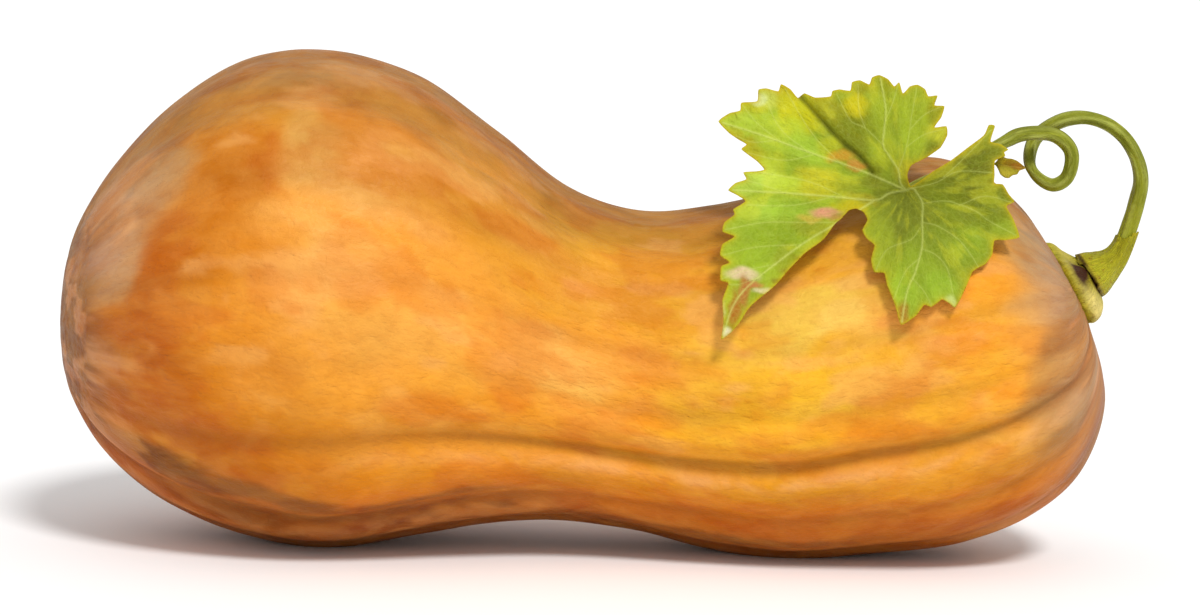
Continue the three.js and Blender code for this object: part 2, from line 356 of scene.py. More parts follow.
def skin_points():
    run, turn = tube_grid(SKIN_RINGS, SKIN_AROUND)
    top = smooth_line(OUTLINE, run * STATIONS, closed=True)
    under = smooth_line(OUTLINE, -run * STATIONS, closed=True)
    centre = (top + under) / 2
    up = top - centre
    radius = np.hypot(up[:, 0], up[:, 1])
    up = up / np.maximum(radius, 1e-9)[:, None]
    around = np.column_stack([np.cos(turn), np.sin(turn)])
    slow = np.column_stack([centre[:, 0] / SWELL_LENGTH, SWELL_AROUND * around])
    wander = [soft_noise(slow * DRIFT_STRETCH + k * 5.1, 20 + k) for k in range(DRIFTS)]
    depth, crease_shade, ledge_highlight = groove_shape(run, np.degrees(turn), radius, np.column_stack(wander))
    swell = SWELL_MM * (soft_noise(slow, 3, 2) - 0.5) * np.minimum(1, radius / SWELL_FADE)
    quick = np.column_stack([centre[:, 0] / DIMPLE_LENGTH, DIMPLE_AROUND * around])
    dimple = DIMPLE_MM * (soft_noise(quick, 5, 2) - 0.5) * np.minimum(1, radius / DIMPLE_FADE)
    reach = radius - depth + swell + dimple
    points = np.column_stack([
        centre[:, 0] + up[:, 0] * np.cos(turn) * reach,
        -np.sin(turn) * reach * FULLNESS,
        centre[:, 1] + up[:, 1] * np.cos(turn) * reach,
    ])
    blossom_half = run < 0.5
    scar = np.exp(-((radius / SCAR_RADIUS) ** 4)) * blossom_half
    rim = hill(radius, RIM_RADIUS, RIM_HALF_WIDTH) * blossom_half
    points[:, 0] += SCAR_DEPTH * scar - RIM_HEIGHT * rim
    points[:, 2] = np.maximum(points[:, 2], 0)
    return run, turn, radius, points, {"crease_shade": crease_shade, "ledge_highlight": ledge_highlight, "scar": scar, "scar_rim": rim}


run, turn, radius, skin, skin_masks = skin_points()
print("fruit", np.round(skin.min(0), 1), "to", np.round(skin.max(0), 1), "mm")

# %% [markdown]
# The blotches of the skin, as (mm from the blossom end, degrees from the top ridge, half length,
# half width, colour, strength). The first ones are wide grounds and the later ones small touches.
# Only the showing side is listed: the back repeats it, mirrored and shifted a little.

# %% Blotches of the skin
SKIN_GROUND = "f0a148"
SKIN_PATCHES = [
    # wide grounds: golden stem half, grey-brown top and ends partly painted shade, brown painted shade
    # underneath
    (60, 0, 75, 24, "b98a62", 0.75), (130, 0, 60, 26, "c08a4c", 0.7), (200, 0, 60, 26, "c39a55", 0.6),
    (-5, 90, 15, 400, "8d6850", 0.9), (18, 50, 22, 42, "b1835c", 0.85), (5, 95, 9, 60, "9c6038", 0.7),
    (262, 90, 18, 400, "b28763", 0.85), (238, 45, 22, 35, "c39a7b", 0.85), (190, 75, 52, 50, "fbb93c", 0.85),
    (95, 85, 55, 50, "f6a853", 0.8), (60, 170, 90, 34, "a9601c", 0.9), (130, 170, 70, 30, "9a5519", 0.85),
    (205, 165, 60, 30, "c07a1c", 0.85), (33, 110, 30, 60, "cf7813", 0.75), (120, 60, 40, 22, "ee9c2a", 0.6),
    # deep orange on the big bulb
    (44, 52, 13, 11, "dd851a", 0.9), (36, 70, 13, 12, "d27c14", 0.95), (27, 84, 14, 15, "cc7410", 0.95),
    (26, 105, 16, 14, "c96d0a", 0.9), (42, 112, 16, 14, "cf7608", 0.9), (40, 128, 20, 12, "c56c0c", 0.8),
    (55, 40, 10, 8, "e0922c", 0.8), (31, 37, 12, 7, "b7763c", 0.8), (50, 92, 12, 9, "e08c24", 0.7),
    (60, 124, 18, 10, "d5822a", 0.6), (86, 62, 8, 5, "ea9a3c", 0.7), (12, 118, 9, 20, "a8642c", 0.7),
    # salmon and peach
    (72, 52, 14, 7, "f3b070", 0.85), (84, 60, 12, 6, "f0ae72", 0.8), (70, 78, 15, 10, "fbb668", 0.8),
    (88, 88, 18, 9, "fdb365", 0.8), (62, 66, 10, 6, "f2ad68", 0.7), (105, 98, 18, 9, "fbb157", 0.7),
    (126, 92, 10, 4, "fdc67c", 0.85), (96, 78, 5, 4, "fdbe7c", 0.8), (72, 118, 6, 5, "e2a05c", 0.7),
    (18, 72, 10, 10, "bb8f68", 0.8), (17, 100, 8, 7, "bd8a60", 0.6), (40, 80, 6, 5, "e09a58", 0.6),
    # gold and yellow towards the stem end
    (115, 55, 14, 6, "efa02a", 0.8), (128, 68, 16, 8, "f6a62a", 0.8), (109, 106, 6, 7, "f39a1c", 0.8),
    (185, 68, 22, 9, "fdd25e", 0.9), (198, 91, 26, 9, "ffd257", 0.95), (160, 80, 14, 7, "fcc548", 0.8),
    (170, 100, 22, 8, "fdc23c", 0.85), (150, 96, 14, 10, "f9b23a", 0.7), (208, 78, 12, 5, "fbc47c", 0.85),
    (226, 60, 13, 12, "f6a11c", 0.85), (222, 76, 16, 6, "fbb12c", 0.8), (219, 92, 18, 6, "fba81e", 0.85),
    (205, 103, 24, 4, "f7a228", 0.8), (180, 100, 12, 3, "f6a544", 0.6), (236, 72, 9, 7, "e5ad7c", 0.85),
    (214, 110, 24, 5, "eba33c", 0.6), (165, 124, 24, 7, "efa12a", 0.8), (195, 125, 22, 5, "f3a43a", 0.85),
    (158, 60, 18, 7, "e8a232", 0.6), (165, 38, 22, 9, "d39a3a", 0.7), (148, 34, 18, 6, "cf8a28", 0.7),
    # greyed skin on the stem end's shoulder and lower lobe
    (247, 100, 9, 14, "b98a5e", 0.8), (249, 118, 9, 12, "bf9676", 0.75), (236, 118, 12, 6, "dfa266", 0.8),
    (247, 75, 7, 16, "bb8453", 0.7), (240, 128, 14, 8, "d58f3c", 0.6), (228, 148, 20, 9, "c97e28", 0.6),
    # the grey bloom along the upper groove
    (88, 35, 16, 4, "bb9272", 0.5), (106, 40, 16, 4, "b98e66", 0.5), (122, 38, 14, 4, "b3875a", 0.45),
    (96, 22, 18, 6, "cf8c44", 0.7), (112, 24, 16, 6, "cb8436", 0.7), (60, 22, 20, 5, "c19878", 0.6),
    # a second layer of deeper orange on the bulb; the dark red-brown at its foot and end is painted shade
    (46, 54, 13, 11, "c67008", 0.92), (37, 72, 12, 11, "c36c08", 0.92), (31, 94, 14, 14, "be6606", 0.88),
    (38, 118, 17, 11, "c06406", 0.85), (13, 106, 8, 22, "964e20", 0.6), (4, 100, 11, 46, "70492c", 0.5),
    (24, 133, 22, 6, "6a3e20", 0.9), (44, 138, 26, 4.5, "703f1c", 0.85), (85, 139, 24, 3, "8a5220", 0.7),
    # golden brown over the top of the neck, salmon beside it
    (100, 50, 34, 12, "cc862c", 0.75), (140, 34, 24, 14, "cc922c", 0.85), (70, 32, 26, 8, "bf7f30", 0.7),
    (108, 26, 24, 6, "b47c34", 0.6), (66, 50, 9, 9, "dda468", 0.8), (80, 58, 8, 4, "dfa566", 0.7),
    (122, 62, 22, 9, "e09c30", 0.8), (150, 60, 14, 14, "e6a832", 0.8), (96, 88, 30, 9, "ecaa58", 0.55),
    (74, 74, 14, 5, "f0b474", 0.7), (58, 100, 10, 6, "dc8a34", 0.6), (88, 104, 16, 4, "e09238", 0.6),
    # the yellow flank
    (184, 66, 22, 8, "f0cc68", 0.85), (185, 84, 24, 9, "f4bc2a", 0.85), (160, 92, 16, 10, "efb632", 0.8),
    (208, 92, 16, 9, "efac28", 0.8), (200, 101, 20, 3, "eaa238", 0.65), (150, 108, 22, 4, "e0962c", 0.6),
    (196, 72, 9, 4, "f8d486", 0.7), (172, 76, 12, 3, "f8cc58", 0.7), (215, 82, 14, 3, "e89a2c", 0.7),
    # the lower rib, then dark lines of painted shade towards the underside
    (126, 132, 14, 7, "dc943a", 0.85), (180, 124, 24, 6, "e4a22c", 0.8), (215, 134, 22, 6, "d2841f", 0.85),
    (160, 136, 24, 6, "cc7a1c", 0.7), (175, 149, 26, 3, "84501c", 0.8), (60, 147, 40, 4, "7e4a18", 0.7),
    (120, 151, 40, 4, "824c1a", 0.7),
    # a second layer of grey on the stem end's shoulder
    (243, 48, 14, 32, "b4958a", 0.85), (243, 60, 9, 12, "c29c86", 0.6), (249, 84, 7, 12, "b08354", 0.75),
    (246, 104, 13, 5, "c09878", 0.8), (251, 78, 9, 30, "b08460", 0.45), (252, 124, 8, 8, "94704c", 0.8),
    # orange over the middle rib, and a painted highlight: a warm light line under the main groove
    (78, 112, 30, 9, "dc8c24", 0.7), (120, 110, 24, 7, "e0902a", 0.6), (100, 101, 16, 3, "eca44c", 0.6),
    (150, 116, 40, 2.6, "f6b858", 0.6), (210, 112, 30, 2.6, "f8c07c", 0.6),
    # last touches on the bulb, the neck and the flank
    (42, 84, 8, 4, "dc8a38", 0.5), (119, 86, 13, 10, "fcc48c", 0.45), (221, 93, 11, 5, "f6b440", 0.5),
    (44, 30, 30, 13, "b47c46", 0.45), (147, 42, 20, 12, "f4aa30", 0.75), (48, 92, 13, 26, "e08a1c", 0.5),
    # greyer towards both ends, darkest at the very ends: partly the skin's grey, partly painted rim shade
    (-6, 90, 15, 400, "795a48", 0.72), (20, 56, 13, 20, "c8a090", 0.7), (17, 38, 13, 12, "b49488", 0.5),
    (264, 90, 14, 400, "a28a76", 0.6),
]

# %% [markdown]
# The map is bent by noise before a blotch is looked up, so that none keeps a tidy oval edge.
#
# Around the scar the ribs meet in one point, and marks drawn along them would make a sunburst.
# There the noise is read on a flat disc, which turns long marks into spots.

# %% The bent map
DISC_RADIUS = 34
BEND_LENGTH, BEND_AROUND, BEND_ROUND_STRETCH = 16, 3.2, (1, 1.7, 1.7)
BEND_MM, BEND_DEGREES = 20, 17
MIRROR_DEGREES, MIRROR_SHIFT = 187, 9.0

disc = np.where(run < 0.5, np.minimum(1, radius / DISC_RADIUS), 1.0)
around_fruit = np.column_stack([np.cos(turn) * disc, np.sin(turn) * disc])


def bent_map():
    """Where each point of the skin looks up its blotch: mm along, degrees around."""
    along = skin[:, 0]
    spread = np.column_stack([along / BEND_LENGTH, BEND_AROUND * around_fruit])
    bent_along = along + BEND_MM * (soft_noise(spread, 31, 4) - 0.5)
    bent_turn = np.degrees(turn) + BEND_DEGREES * (soft_noise(spread * BEND_ROUND_STRETCH, 32, 4) - 0.5)
    back = bent_turn > MIRROR_DEGREES
    bent_turn = np.where(back, 2 * MIRROR_DEGREES - bent_turn, bent_turn)
    return np.column_stack([bent_along + np.where(back, MIRROR_SHIFT, 0.0), bent_turn])

# %% [markdown]
# A glaze multiplies the colours in the end. It is painted shade that follows the height round the
# fruit: dull and grey on the top, clear on the side and darker and browner below. It also takes the
# yellow out of both ends, which turn grey, partly the skin's own colour and partly painted rim shade.

# %% The glaze and its painted shade
# (degrees from the top ridge, colour)
SKIN_GLAZE_AND_SHADE = [
    (0, "bab6ac"), (24, "c8c4a4"), (42, "e7e6b0"), (60, "f2ebb4"), (90, "f5efb4"), (112, "f4ee88"),
    (126, "ecdc34"), (140, "e4c044"), (150, "dcbe7c"), (160, "d2bc98"), (180, "b4a890"),
]
END_GREYNESS = 0.85
GREY_TO_BLOSSOM, GREY_TO_STEM = (38, 8), (230, 254)
from_top = np.minimum(np.degrees(turn), 360 - np.degrees(turn))


def glaze_and_shade_colours():
    stops, codes = zip(*SKIN_GLAZE_AND_SHADE)
    glaze = np.array([linear(code) for code in codes])
    layer = np.column_stack([np.interp(from_top, stops, glaze[:, k]) for k in range(3)])
    along = skin[:, 0]
    ends = np.maximum(smooth_ramp(*GREY_TO_BLOSSOM, along), smooth_ramp(*GREY_TO_STEM, along))
    layer[:, 2] += (END_GREYNESS * layer[:, 1] - layer[:, 2]) * ends
    return layer

# %% [markdown]
# Between the blotches and the glaze go strokes that follow the ribs: lighter and darker ones, pale
# ones and deep orange ones. A stroke fades in between two values of its noise. The painted shade of
# the creases stays faint on the top.

# %% Strokes and masks of the skin
STROKE_LENGTH, STROKE_AROUND = 13, 7
DAPPLE = 0.26
PALE_STROKE, PALE_SHARE, PALE_FROM = "fab88c", 0.42, (0.55, 0.66)
DEEP_STROKE, DEEP_SHARE, DEEP_FROM = "ecbe78", 0.5, (0.5, 0.64)
FAINT_CREASE_SHADE, CLEAR_CREASE_SHADE_DEGREES = 0.25, (25, 75)
FLOW_LENGTH = 50


def paint_skin():
    tone = painted(SKIN_GROUND, bent_map(), SKIN_PATCHES)
    strokes = np.column_stack([skin[:, 0] / STROKE_LENGTH, STROKE_AROUND * around_fruit])
    dapple = soft_noise(strokes, 33, 3)
    pale = (PALE_SHARE * smooth_ramp(*PALE_FROM, soft_noise(strokes * 0.8 + 5, 34, 4)))[:, None]
    deep = (DEEP_SHARE * smooth_ramp(*DEEP_FROM, soft_noise(strokes * 0.9 + 9, 35, 4)))[:, None]
    tone = tone * (1 + DAPPLE * (dapple - 0.5))[:, None]
    tone = tone * (1 - pale) + linear(PALE_STROKE) * pale
    tone = tone * (1 - deep) + tone * linear(DEEP_STROKE) * deep
    return tone * glaze_and_shade_colours()


# The painted crease shade fades out towards the top.
clear = FAINT_CREASE_SHADE + (1 - FAINT_CREASE_SHADE) * smooth_ramp(*CLEAR_CREASE_SHADE_DEGREES, from_top)
skin_masks["crease_shade"] = skin_masks["crease_shade"] * clear
skin_masks["tone"] = paint_skin()
skin_masks["flow"] = np.column_stack([skin[:, 0] / FLOW_LENGTH, around_fruit])
print("painted", len(SKIN_PATCHES), "patches")

# %% Build the fruit
fruit = add_piece(
    "squash_skin", in_scene(skin), ring_faces(SKIN_RINGS, SKIN_AROUND), skin_masks, "squash_body"
)

# %% [markdown]
# ## Shared effects: streaks, pores and a net of veins
#
# Skin, stalk, vine and leaves grow lengthwise, and all of them carry fine streaks that follow that
# growth. A node group makes them once: noise stretched along the piece's own `flow` map. A second
# group scatters pores and freckles, and a third draws the fine net of veins that leaf blades have.
# The groups put out masks only, so each material decides what a streak or a pore does. Four small
# helpers keep the cells short: a new group, a node with its inputs, a sum or product, and a ramp.

# %% Node helpers
def new_group(name, inputs, outputs):
    group = bpy.data.node_groups.new(name, "ShaderNodeTree")
    for label, kind, value in inputs:
        socket = group.interface.new_socket(label, in_out="INPUT", socket_type=kind)
        if value is not None:
            socket.default_value = value
    for label in outputs:
        group.interface.new_socket(label, in_out="OUTPUT", socket_type="NodeSocketFloat")
    return group, group.nodes.new("NodeGroupInput"), group.nodes.new("NodeGroupOutput")


def place_node(tree, kind, settings=None, **links):
    """Adds a node with its settings and inputs. An input is named, or i0, i1 and so on by its number."""
    node = tree.nodes.new(kind)
    for key, value in (settings or {}).items():
        setattr(node, key, value)
    for label, value in links.items():
        numbered = label[0] == "i" and label[1:].isdigit()
        socket = node.inputs[int(label[1:]) if numbered else label]
        if isinstance(value, bpy.types.NodeSocket):
            tree.links.new(value, socket)
        else:
            socket.default_value = value
    return node


def maths(tree, operation, first, second=0.0):
    return place_node(tree, "ShaderNodeMath", {"operation": operation}, i0=first, i1=second).outputs[0]


def product(tree, first, second):
    return maths(tree, "MULTIPLY", first, second)


def ramp_between(tree, value, low, high, to_low=0.0, to_high=1.0):
    node = tree.nodes.new("ShaderNodeMapRange")
    node.interpolation_type = "SMOOTHSTEP"
    tree.links.new(value, node.inputs["Value"])
    for label, number in (("From Min", low), ("From Max", high), ("To Min", to_low), ("To Max", to_high)):
        node.inputs[label].default_value = number
    return node.outputs["Result"]

# %% Group: growth streaks
def make_streaks():
    number = "NodeSocketFloat"
    inputs = [("Flow", "NodeSocketVector", None), ("Across", number, 9.0), ("Along", number, 3.0)]
    group, given, out = new_group("growth_streaks", inputs, ["Broad", "Fine"])
    split = place_node(group, "ShaderNodeSeparateXYZ", Vector=given.outputs["Flow"])
    along = product(group, split.outputs[0], given.outputs["Along"])
    side = product(group, split.outputs[1], given.outputs["Across"])
    rise = product(group, split.outputs[2], given.outputs["Across"])
    stretched = place_node(group, "ShaderNodeCombineXYZ", X=along, Y=side, Z=rise).outputs[0]
    noise = "ShaderNodeTexNoise"
    broad = place_node(group, noise, Vector=stretched, Scale=1.0, Detail=4.0, Roughness=0.55, Distortion=0.7)
    fine = place_node(group, noise, Vector=stretched, Scale=3.6, Detail=4.0, Roughness=0.6, Distortion=0.3)
    group.links.new(ramp_between(group, broad.outputs[0], 0.34, 0.68), out.inputs["Broad"])
    group.links.new(ramp_between(group, fine.outputs[0], 0.36, 0.7), out.inputs["Fine"])
    return group


streaks_group = make_streaks()

# %% Group: pores and freckles
def make_pores():
    number = "NodeSocketFloat"
    inputs = [("Place", "NodeSocketVector", None), ("Size", number, 700.0), ("Share", number, 0.3)]
    group, given, out = new_group("pores_and_freckles", inputs, ["Pores", "Freckles"])
    place, size = given.outputs["Place"], given.outputs["Size"]
    cells = place_node(group, "ShaderNodeTexVoronoi", Vector=place, Scale=size)
    pore = ramp_between(group, cells.outputs["Distance"], 0.05, 0.34, 1.0, 0.0)
    pick = place_node(group, "ShaderNodeSeparateColor", Color=cells.outputs["Color"]).outputs[0]
    chosen = maths(group, "LESS_THAN", pick, given.outputs["Share"])
    group.links.new(product(group, pore, chosen), out.inputs["Pores"])
    coarse = product(group, size, 0.3)
    spots = place_node(group, "ShaderNodeTexNoise", Vector=place, Scale=coarse, Detail=5.0, Roughness=0.65)
    group.links.new(ramp_between(group, spots.outputs[0], 0.52, 0.72), out.inputs["Freckles"])
    return group


pores_group = make_pores()

# %% Group: the net of fine veins
def make_vein_net():
    number = "NodeSocketFloat"
    inputs = [("Place", "NodeSocketVector", None), ("Size", number, 420.0)]
    group, given, out = new_group("fine_vein_net", inputs, ["Net", "Cells"])
    place = given.outputs["Place"]
    wobble = place_node(group, "ShaderNodeTexNoise", Vector=place, Scale=260.0, Detail=2.0)
    sway = (0.002, 0.002, 0.002)
    moved = place_node(
        group, "ShaderNodeVectorMath", {"operation": "MULTIPLY_ADD"},
        i0=wobble.outputs["Color"], i1=sway, i2=place,
    ).outputs[0]
    borders = {"feature": "DISTANCE_TO_EDGE"}
    cells = place_node(group, "ShaderNodeTexVoronoi", borders, Vector=moved, Scale=given.outputs["Size"])
    from_edge = cells.outputs["Distance"]
    group.links.new(ramp_between(group, from_edge, 0.02, 0.12, 1.0, 0.0), out.inputs["Net"])
    group.links.new(ramp_between(group, from_edge, 0.0, 0.5), out.inputs["Cells"])
    return group


net_group = make_vein_net()
print("groups:", [g.name for g in (streaks_group, pores_group, net_group)])

# %% [markdown]
# Each material is built the same way: a Principled shader, a ground colour, then one tint after
# another, each laid on by a mask, and bumps chained into the normal. A tint's mask is painted on
# the piece's points or comes from a group. These helpers keep the material cells short.

# %% Material helpers
def start_material(name, roughness, specular):
    material = bpy.data.materials.new(name)
    material.use_nodes = True
    tree = material.node_tree
    shader = tree.nodes["Principled BSDF"]
    shader.inputs["Roughness"].default_value = roughness
    shader.inputs["Specular IOR Level"].default_value = specular
    return material, tree, shader


def mark(tree, name, output="Fac"):
    return place_node(tree, "ShaderNodeAttribute", {"attribute_name": name}).outputs[output]


def use_group(tree, group, **inputs):
    return place_node(tree, "ShaderNodeGroup", {"node_tree": group}, **inputs)


def tinted(tree, colour, code, mask, share=1.0):
    """Lays a colour over another one by a mask, at most by a share. The first may be a code too."""
    under = (*linear(colour), 1) if isinstance(colour, str) else colour
    amount = mask if share == 1.0 else product(tree, mask, share)
    mixed = place_node(
        tree, "ShaderNodeMix", {"data_type": "RGBA"}, i0=amount, i6=under, i7=(*linear(code), 1)
    )
    return mixed.outputs[2]


def relief(tree, shader, layers):
    """Chains one bump for each (mask, depth in metres) into the shader's normal."""
    normal = None
    for height, depth in layers:
        bump = place_node(tree, "ShaderNodeBump", Height=height, Distance=depth, Strength=1.0)
        if normal is not None:
            tree.links.new(normal, bump.inputs["Normal"])
        normal = bump.outputs["Normal"]
    tree.links.new(normal, shader.inputs["Normal"])


def object_place(tree):
    return tree.nodes.new("ShaderNodeTexCoord").outputs["Object"]


def finish_material(tree, shader, colour, streak, roughness):
    """Joins the colour, and a roughness that changes between two values with a streak mask."""
    tree.links.new(colour, shader.inputs["Base Color"])
    tree.links.new(ramp_between(tree, streak, 0.0, 1.0, *roughness), shader.inputs["Roughness"])

# %% [markdown]
# ## Skin
#
# The painted tone is the ground. Over it go long streaks, paler on some and darker on others, then
# small freckles, a painted highlight on the ledge of the deep folds, painted shade in their creases,
# and the corky scar. The rind of a butternut has a dry, waxy sheen: neither glossy paint nor chalk.
# Its roughness changes from streak to streak, and pores too small to model break up the light.

# %% Material: skin
def make_skin_material():
    material, tree, shader = start_material("squash_rind", 0.5, 0.12)
    flow = mark(tree, "flow", "Vector")
    streaks = use_group(tree, streaks_group, Flow=flow, Across=5.0, Along=3.2)
    thin = use_group(tree, streaks_group, Flow=flow, Across=15.0, Along=6.0)
    pores = use_group(tree, pores_group, Place=object_place(tree), Size=900.0, Share=0.22)
    colour = mark(tree, "tone", "Vector")
    colour = tinted(tree, colour, "f4b458", streaks.outputs["Broad"], 0.15)
    colour = tinted(tree, colour, "b8620f", streaks.outputs["Fine"], 0.16)
    colour = tinted(tree, colour, "f0a850", thin.outputs["Broad"], 0.09)
    colour = tinted(tree, colour, "a85412", thin.outputs["Fine"], 0.08)
    colour = tinted(tree, colour, "9a4c14", pores.outputs["Freckles"], 0.1)
    # A painted highlight on the ledge below each deep fold, then painted shade in the creases.
    broken_ledge_highlight = product(tree, mark(tree, "ledge_highlight"), streaks.outputs["Broad"])
    colour = tinted(tree, colour, "f2b888", broken_ledge_highlight, 0.3)
    colour = tinted(tree, colour, "7c4212", mark(tree, "crease_shade"), 0.5)
    colour = tinted(tree, colour, "6a4a30", mark(tree, "scar_rim"), 0.5)
    colour = tinted(tree, colour, "a2845e", mark(tree, "scar"), 0.85)
    finish_material(tree, shader, colour, streaks.outputs["Fine"], (0.44, 0.6))
    relief(tree, shader, [
        (streaks.outputs["Fine"], 0.00018), (thin.outputs["Fine"], 0.00006),
        (pores.outputs["Pores"], -0.00005),
    ])
    return material


fruit.data.materials.append(make_skin_material())
print("skin material on", fruit.name)

# %% [markdown]
# ## The stalk
#
# Where the fruit joined its plant there is a corky foot with five soft lobes, spread on the skin
# like a cushion. Above a dark waist the green sheath of the stem begins: it flares at its ragged
# lower edge and narrows towards the vine. A line through the stalk and a radius for every distance
# along it describe all of that. The lobes, ribs, grain and torn edges are added to the rings.

# %% Rings along a line
LINE_SAMPLES = 1500


def along_line(points, distances):
    """Centre, forward, side and up at distances (mm) along a smooth line of (x, y, z) points."""
    fine = smooth_line(points, np.linspace(0, len(points) - 1, LINE_SAMPLES))
    steps = np.linalg.norm(np.diff(fine, axis=0), axis=1)
    reached = np.concatenate([[0], np.cumsum(steps)])
    forward = np.gradient(fine, axis=0)
    forward /= np.linalg.norm(forward, axis=1)[:, None]
    side = np.zeros_like(fine)
    carried = np.array([0.0, -1.0, 0.0])
    for k, ahead in enumerate(forward):
        carried = carried - ahead * carried.dot(ahead)
        carried /= np.linalg.norm(carried)
        side[k] = carried
    up = np.cross(side, forward)
    picked = [
        np.column_stack([np.interp(distances, reached, rows[:, k]) for k in range(3)])
        for rows in (fine, forward, side, up)
    ]
    return (*picked, reached[-1])


def rings_on_line(points, distances, turn, reach):
    """Points of a tube: each lies at a distance along the line, turned round it, at its reach."""
    centre, _, side, up, _ = along_line(points, distances)
    return centre + up * (np.cos(turn) * reach)[:, None] + side * (np.sin(turn) * reach)[:, None]

# %% Points of the stalk
STALK_LINE = [
    (248.6, 0, 67.2), (251.6, 0, 69), (256.9, 0, 72), (261.2, 0, 75.3), (263.6, 0, 78.9), (265.2, 0, 83.6),
]
# (mm along the line, radius), from under the foot over the waist and the sheath into its mouth.
STALK_PROFILE = [
    (0, 0), (0.4, 8.2), (2.2, 10.5), (3.6, 11.2), (5, 10.9), (6.2, 9.7), (7.2, 7.9), (7.8, 6.4), (8.2, 5.4),
    (8.7, 4.8), (8.8, 5.2), (8.7, 5.9), (9.4, 6.1), (10.8, 5.6), (12.6, 4.6), (14.8, 3.6), (17.6, 2.9),
    (20.4, 2.6), (22.8, 2.55), (23.7, 2.45), (23.6, 2.2), (22.6, 2), (21.6, 1.4), (21.4, 0),
]
STALK_RINGS, STALK_AROUND = 230, 150
SHEATH_BEGINS = (8.5, 9.4)
# Shares of the radius: five lobes, three slow ones that make them uneven, six ribs of the sheath.
LOBE_SHARE, UNEVEN_SHARE, RIB_SHARE = 0.11, 0.03, 0.05
GRAIN_MM, GRAIN_LENGTH, GRAIN_AROUND = 0.9, 2.4, 3.2
THREAD_MM, THREAD_LENGTH, THREAD_AROUND = 0.34, 9, 6.5
# The foot lies askew on the shoulder: its shift for each mm along, and how much more it has on top.
ASKEW, ASKEW_ON_TOP = 0.09, 0.21
LOW_EDGE, LOW_TEAR_MM, LOW_EDGE_MIDDLE = 9, 3, 0.36
HIGH_TEAR_MM, HIGH_EDGE_MIDDLE, HIGH_EDGE_DROP, HIGH_EDGE_SLANT = 4, 0.6, 0.8, 1.2


def stalk_points():
    run, turn = tube_grid(STALK_RINGS, STALK_AROUND)
    profile = smooth_line(STALK_PROFILE, run * (len(STALK_PROFILE) - 1))
    along, radius = profile[:, 0], np.maximum(profile[:, 1], 0)
    around = np.column_stack([np.cos(turn), np.sin(turn)])
    sheath = smooth_ramp(*SHEATH_BEGINS, along)
    foot = 1 - sheath
    lobes = LOBE_SHARE * np.cos(5 * turn + 0.4) + UNEVEN_SHARE * np.cos(3 * turn + 1.9)
    ribs = RIB_SHARE * np.cos(6 * turn + 0.12 * along) * smooth_ramp(11, 14, along)
    grain = soft_noise(np.column_stack([along / GRAIN_LENGTH, GRAIN_AROUND * around]), 41, 3) - 0.5
    threads = soft_noise(np.column_stack([along / THREAD_LENGTH, THREAD_AROUND * around]), 42, 2) - 0.5
    reach = radius * (1 + foot * lobes * smooth_ramp(0, 6, radius) + sheath * ribs)
    reach = reach + foot * GRAIN_MM * grain * smooth_ramp(2, 6, radius) + sheath * THREAD_MM * threads
    askew = (ASKEW + ASKEW_ON_TOP * np.cos(turn)) * along
    askew = askew * smooth_ramp(1, 5, along) * smooth_ramp(3, 9, radius) * foot
    torn = soft_noise(np.column_stack([np.full_like(along, 3.3), 3.4 * around]), 43, 2)
    on_low_edge = hill(along, LOW_EDGE, 1.2) * smooth_ramp(4.9, 5.8, radius) * smooth_ramp(8.6, 8.8, along)
    low_tear = LOW_TEAR_MM * on_low_edge * (torn - LOW_EDGE_MIDDLE)
    slant = HIGH_EDGE_DROP + HIGH_EDGE_SLANT * np.cos(turn)
    high_tear = smooth_ramp(21.5, 23.6, along) * (HIGH_TEAR_MM * (torn - HIGH_EDGE_MIDDLE) - slant)
    along = along - askew - low_tear + high_tear
    return rings_on_line(STALK_LINE, np.maximum(along, 0), turn, reach), along, turn, reach, grain

# %% [markdown]
# The stalk's masks say where its colours go, by the distance along it in mm: painted shade in the
# waist and in a hollow on the showing side, painted cream highlights on the cheeks of the foot, dark
# pits in the bark, the sheath with rust at its base, and pale torn edges.

# %% Masks of the stalk
stalk, stalk_along, stalk_turn, stalk_reach, stalk_grain = stalk_points()
WAIST_ALONG, HOLLOW_ALONG, CHEEK_ALONG, HOLLOW_DEGREES = 8.3, 6.3, 6.3, 66


def stalk_masks():
    along, turn = stalk_along, stalk_turn
    # Painted shade in the waist, and in a hollow on the showing side.
    waist_shade = hill(along, WAIST_ALONG, 0.8) * (1 - smooth_ramp(5.6, 7.6, stalk_reach))
    hollow_shade = 1.2 * hill(np.degrees(turn), HOLLOW_DEGREES, 27) * hill(along, HOLLOW_ALONG, 2)
    waist_shade = np.maximum(waist_shade, hollow_shade * (1 + 1.6 * stalk_grain))
    # Painted highlight: cream on the cheeks of the foot.
    cheek_highlight = hill(along, CHEEK_ALONG, 2.2) * smooth_ramp(-0.2, 0.9, -np.cos(turn)) + 0.4 * hill(along, 5, 1.6)
    return {
        "flow": np.column_stack([along / 12, np.cos(turn), np.sin(turn)]),
        "waist_shade": np.clip(waist_shade, 0, 1),
        "cheek_highlight": np.clip(cheek_highlight, 0, 1),
        "pits": np.clip(-2.2 * stalk_grain, 0, 1),
        "sheath": smooth_ramp(8.8, 9.6, along),
        "rust": smooth_ramp(15, 9.5, along) * smooth_ramp(8.6, 9.4, along),
        "edge": smooth_ramp(22.2, 23.6, along) + hill(along, 9.3, 0.4),
    }


stalk_faces = ring_faces(STALK_RINGS, STALK_AROUND)
stalk_piece = add_piece("corky_stalk", in_scene(stalk), stalk_faces, stalk_masks(), "fruit_stalk")
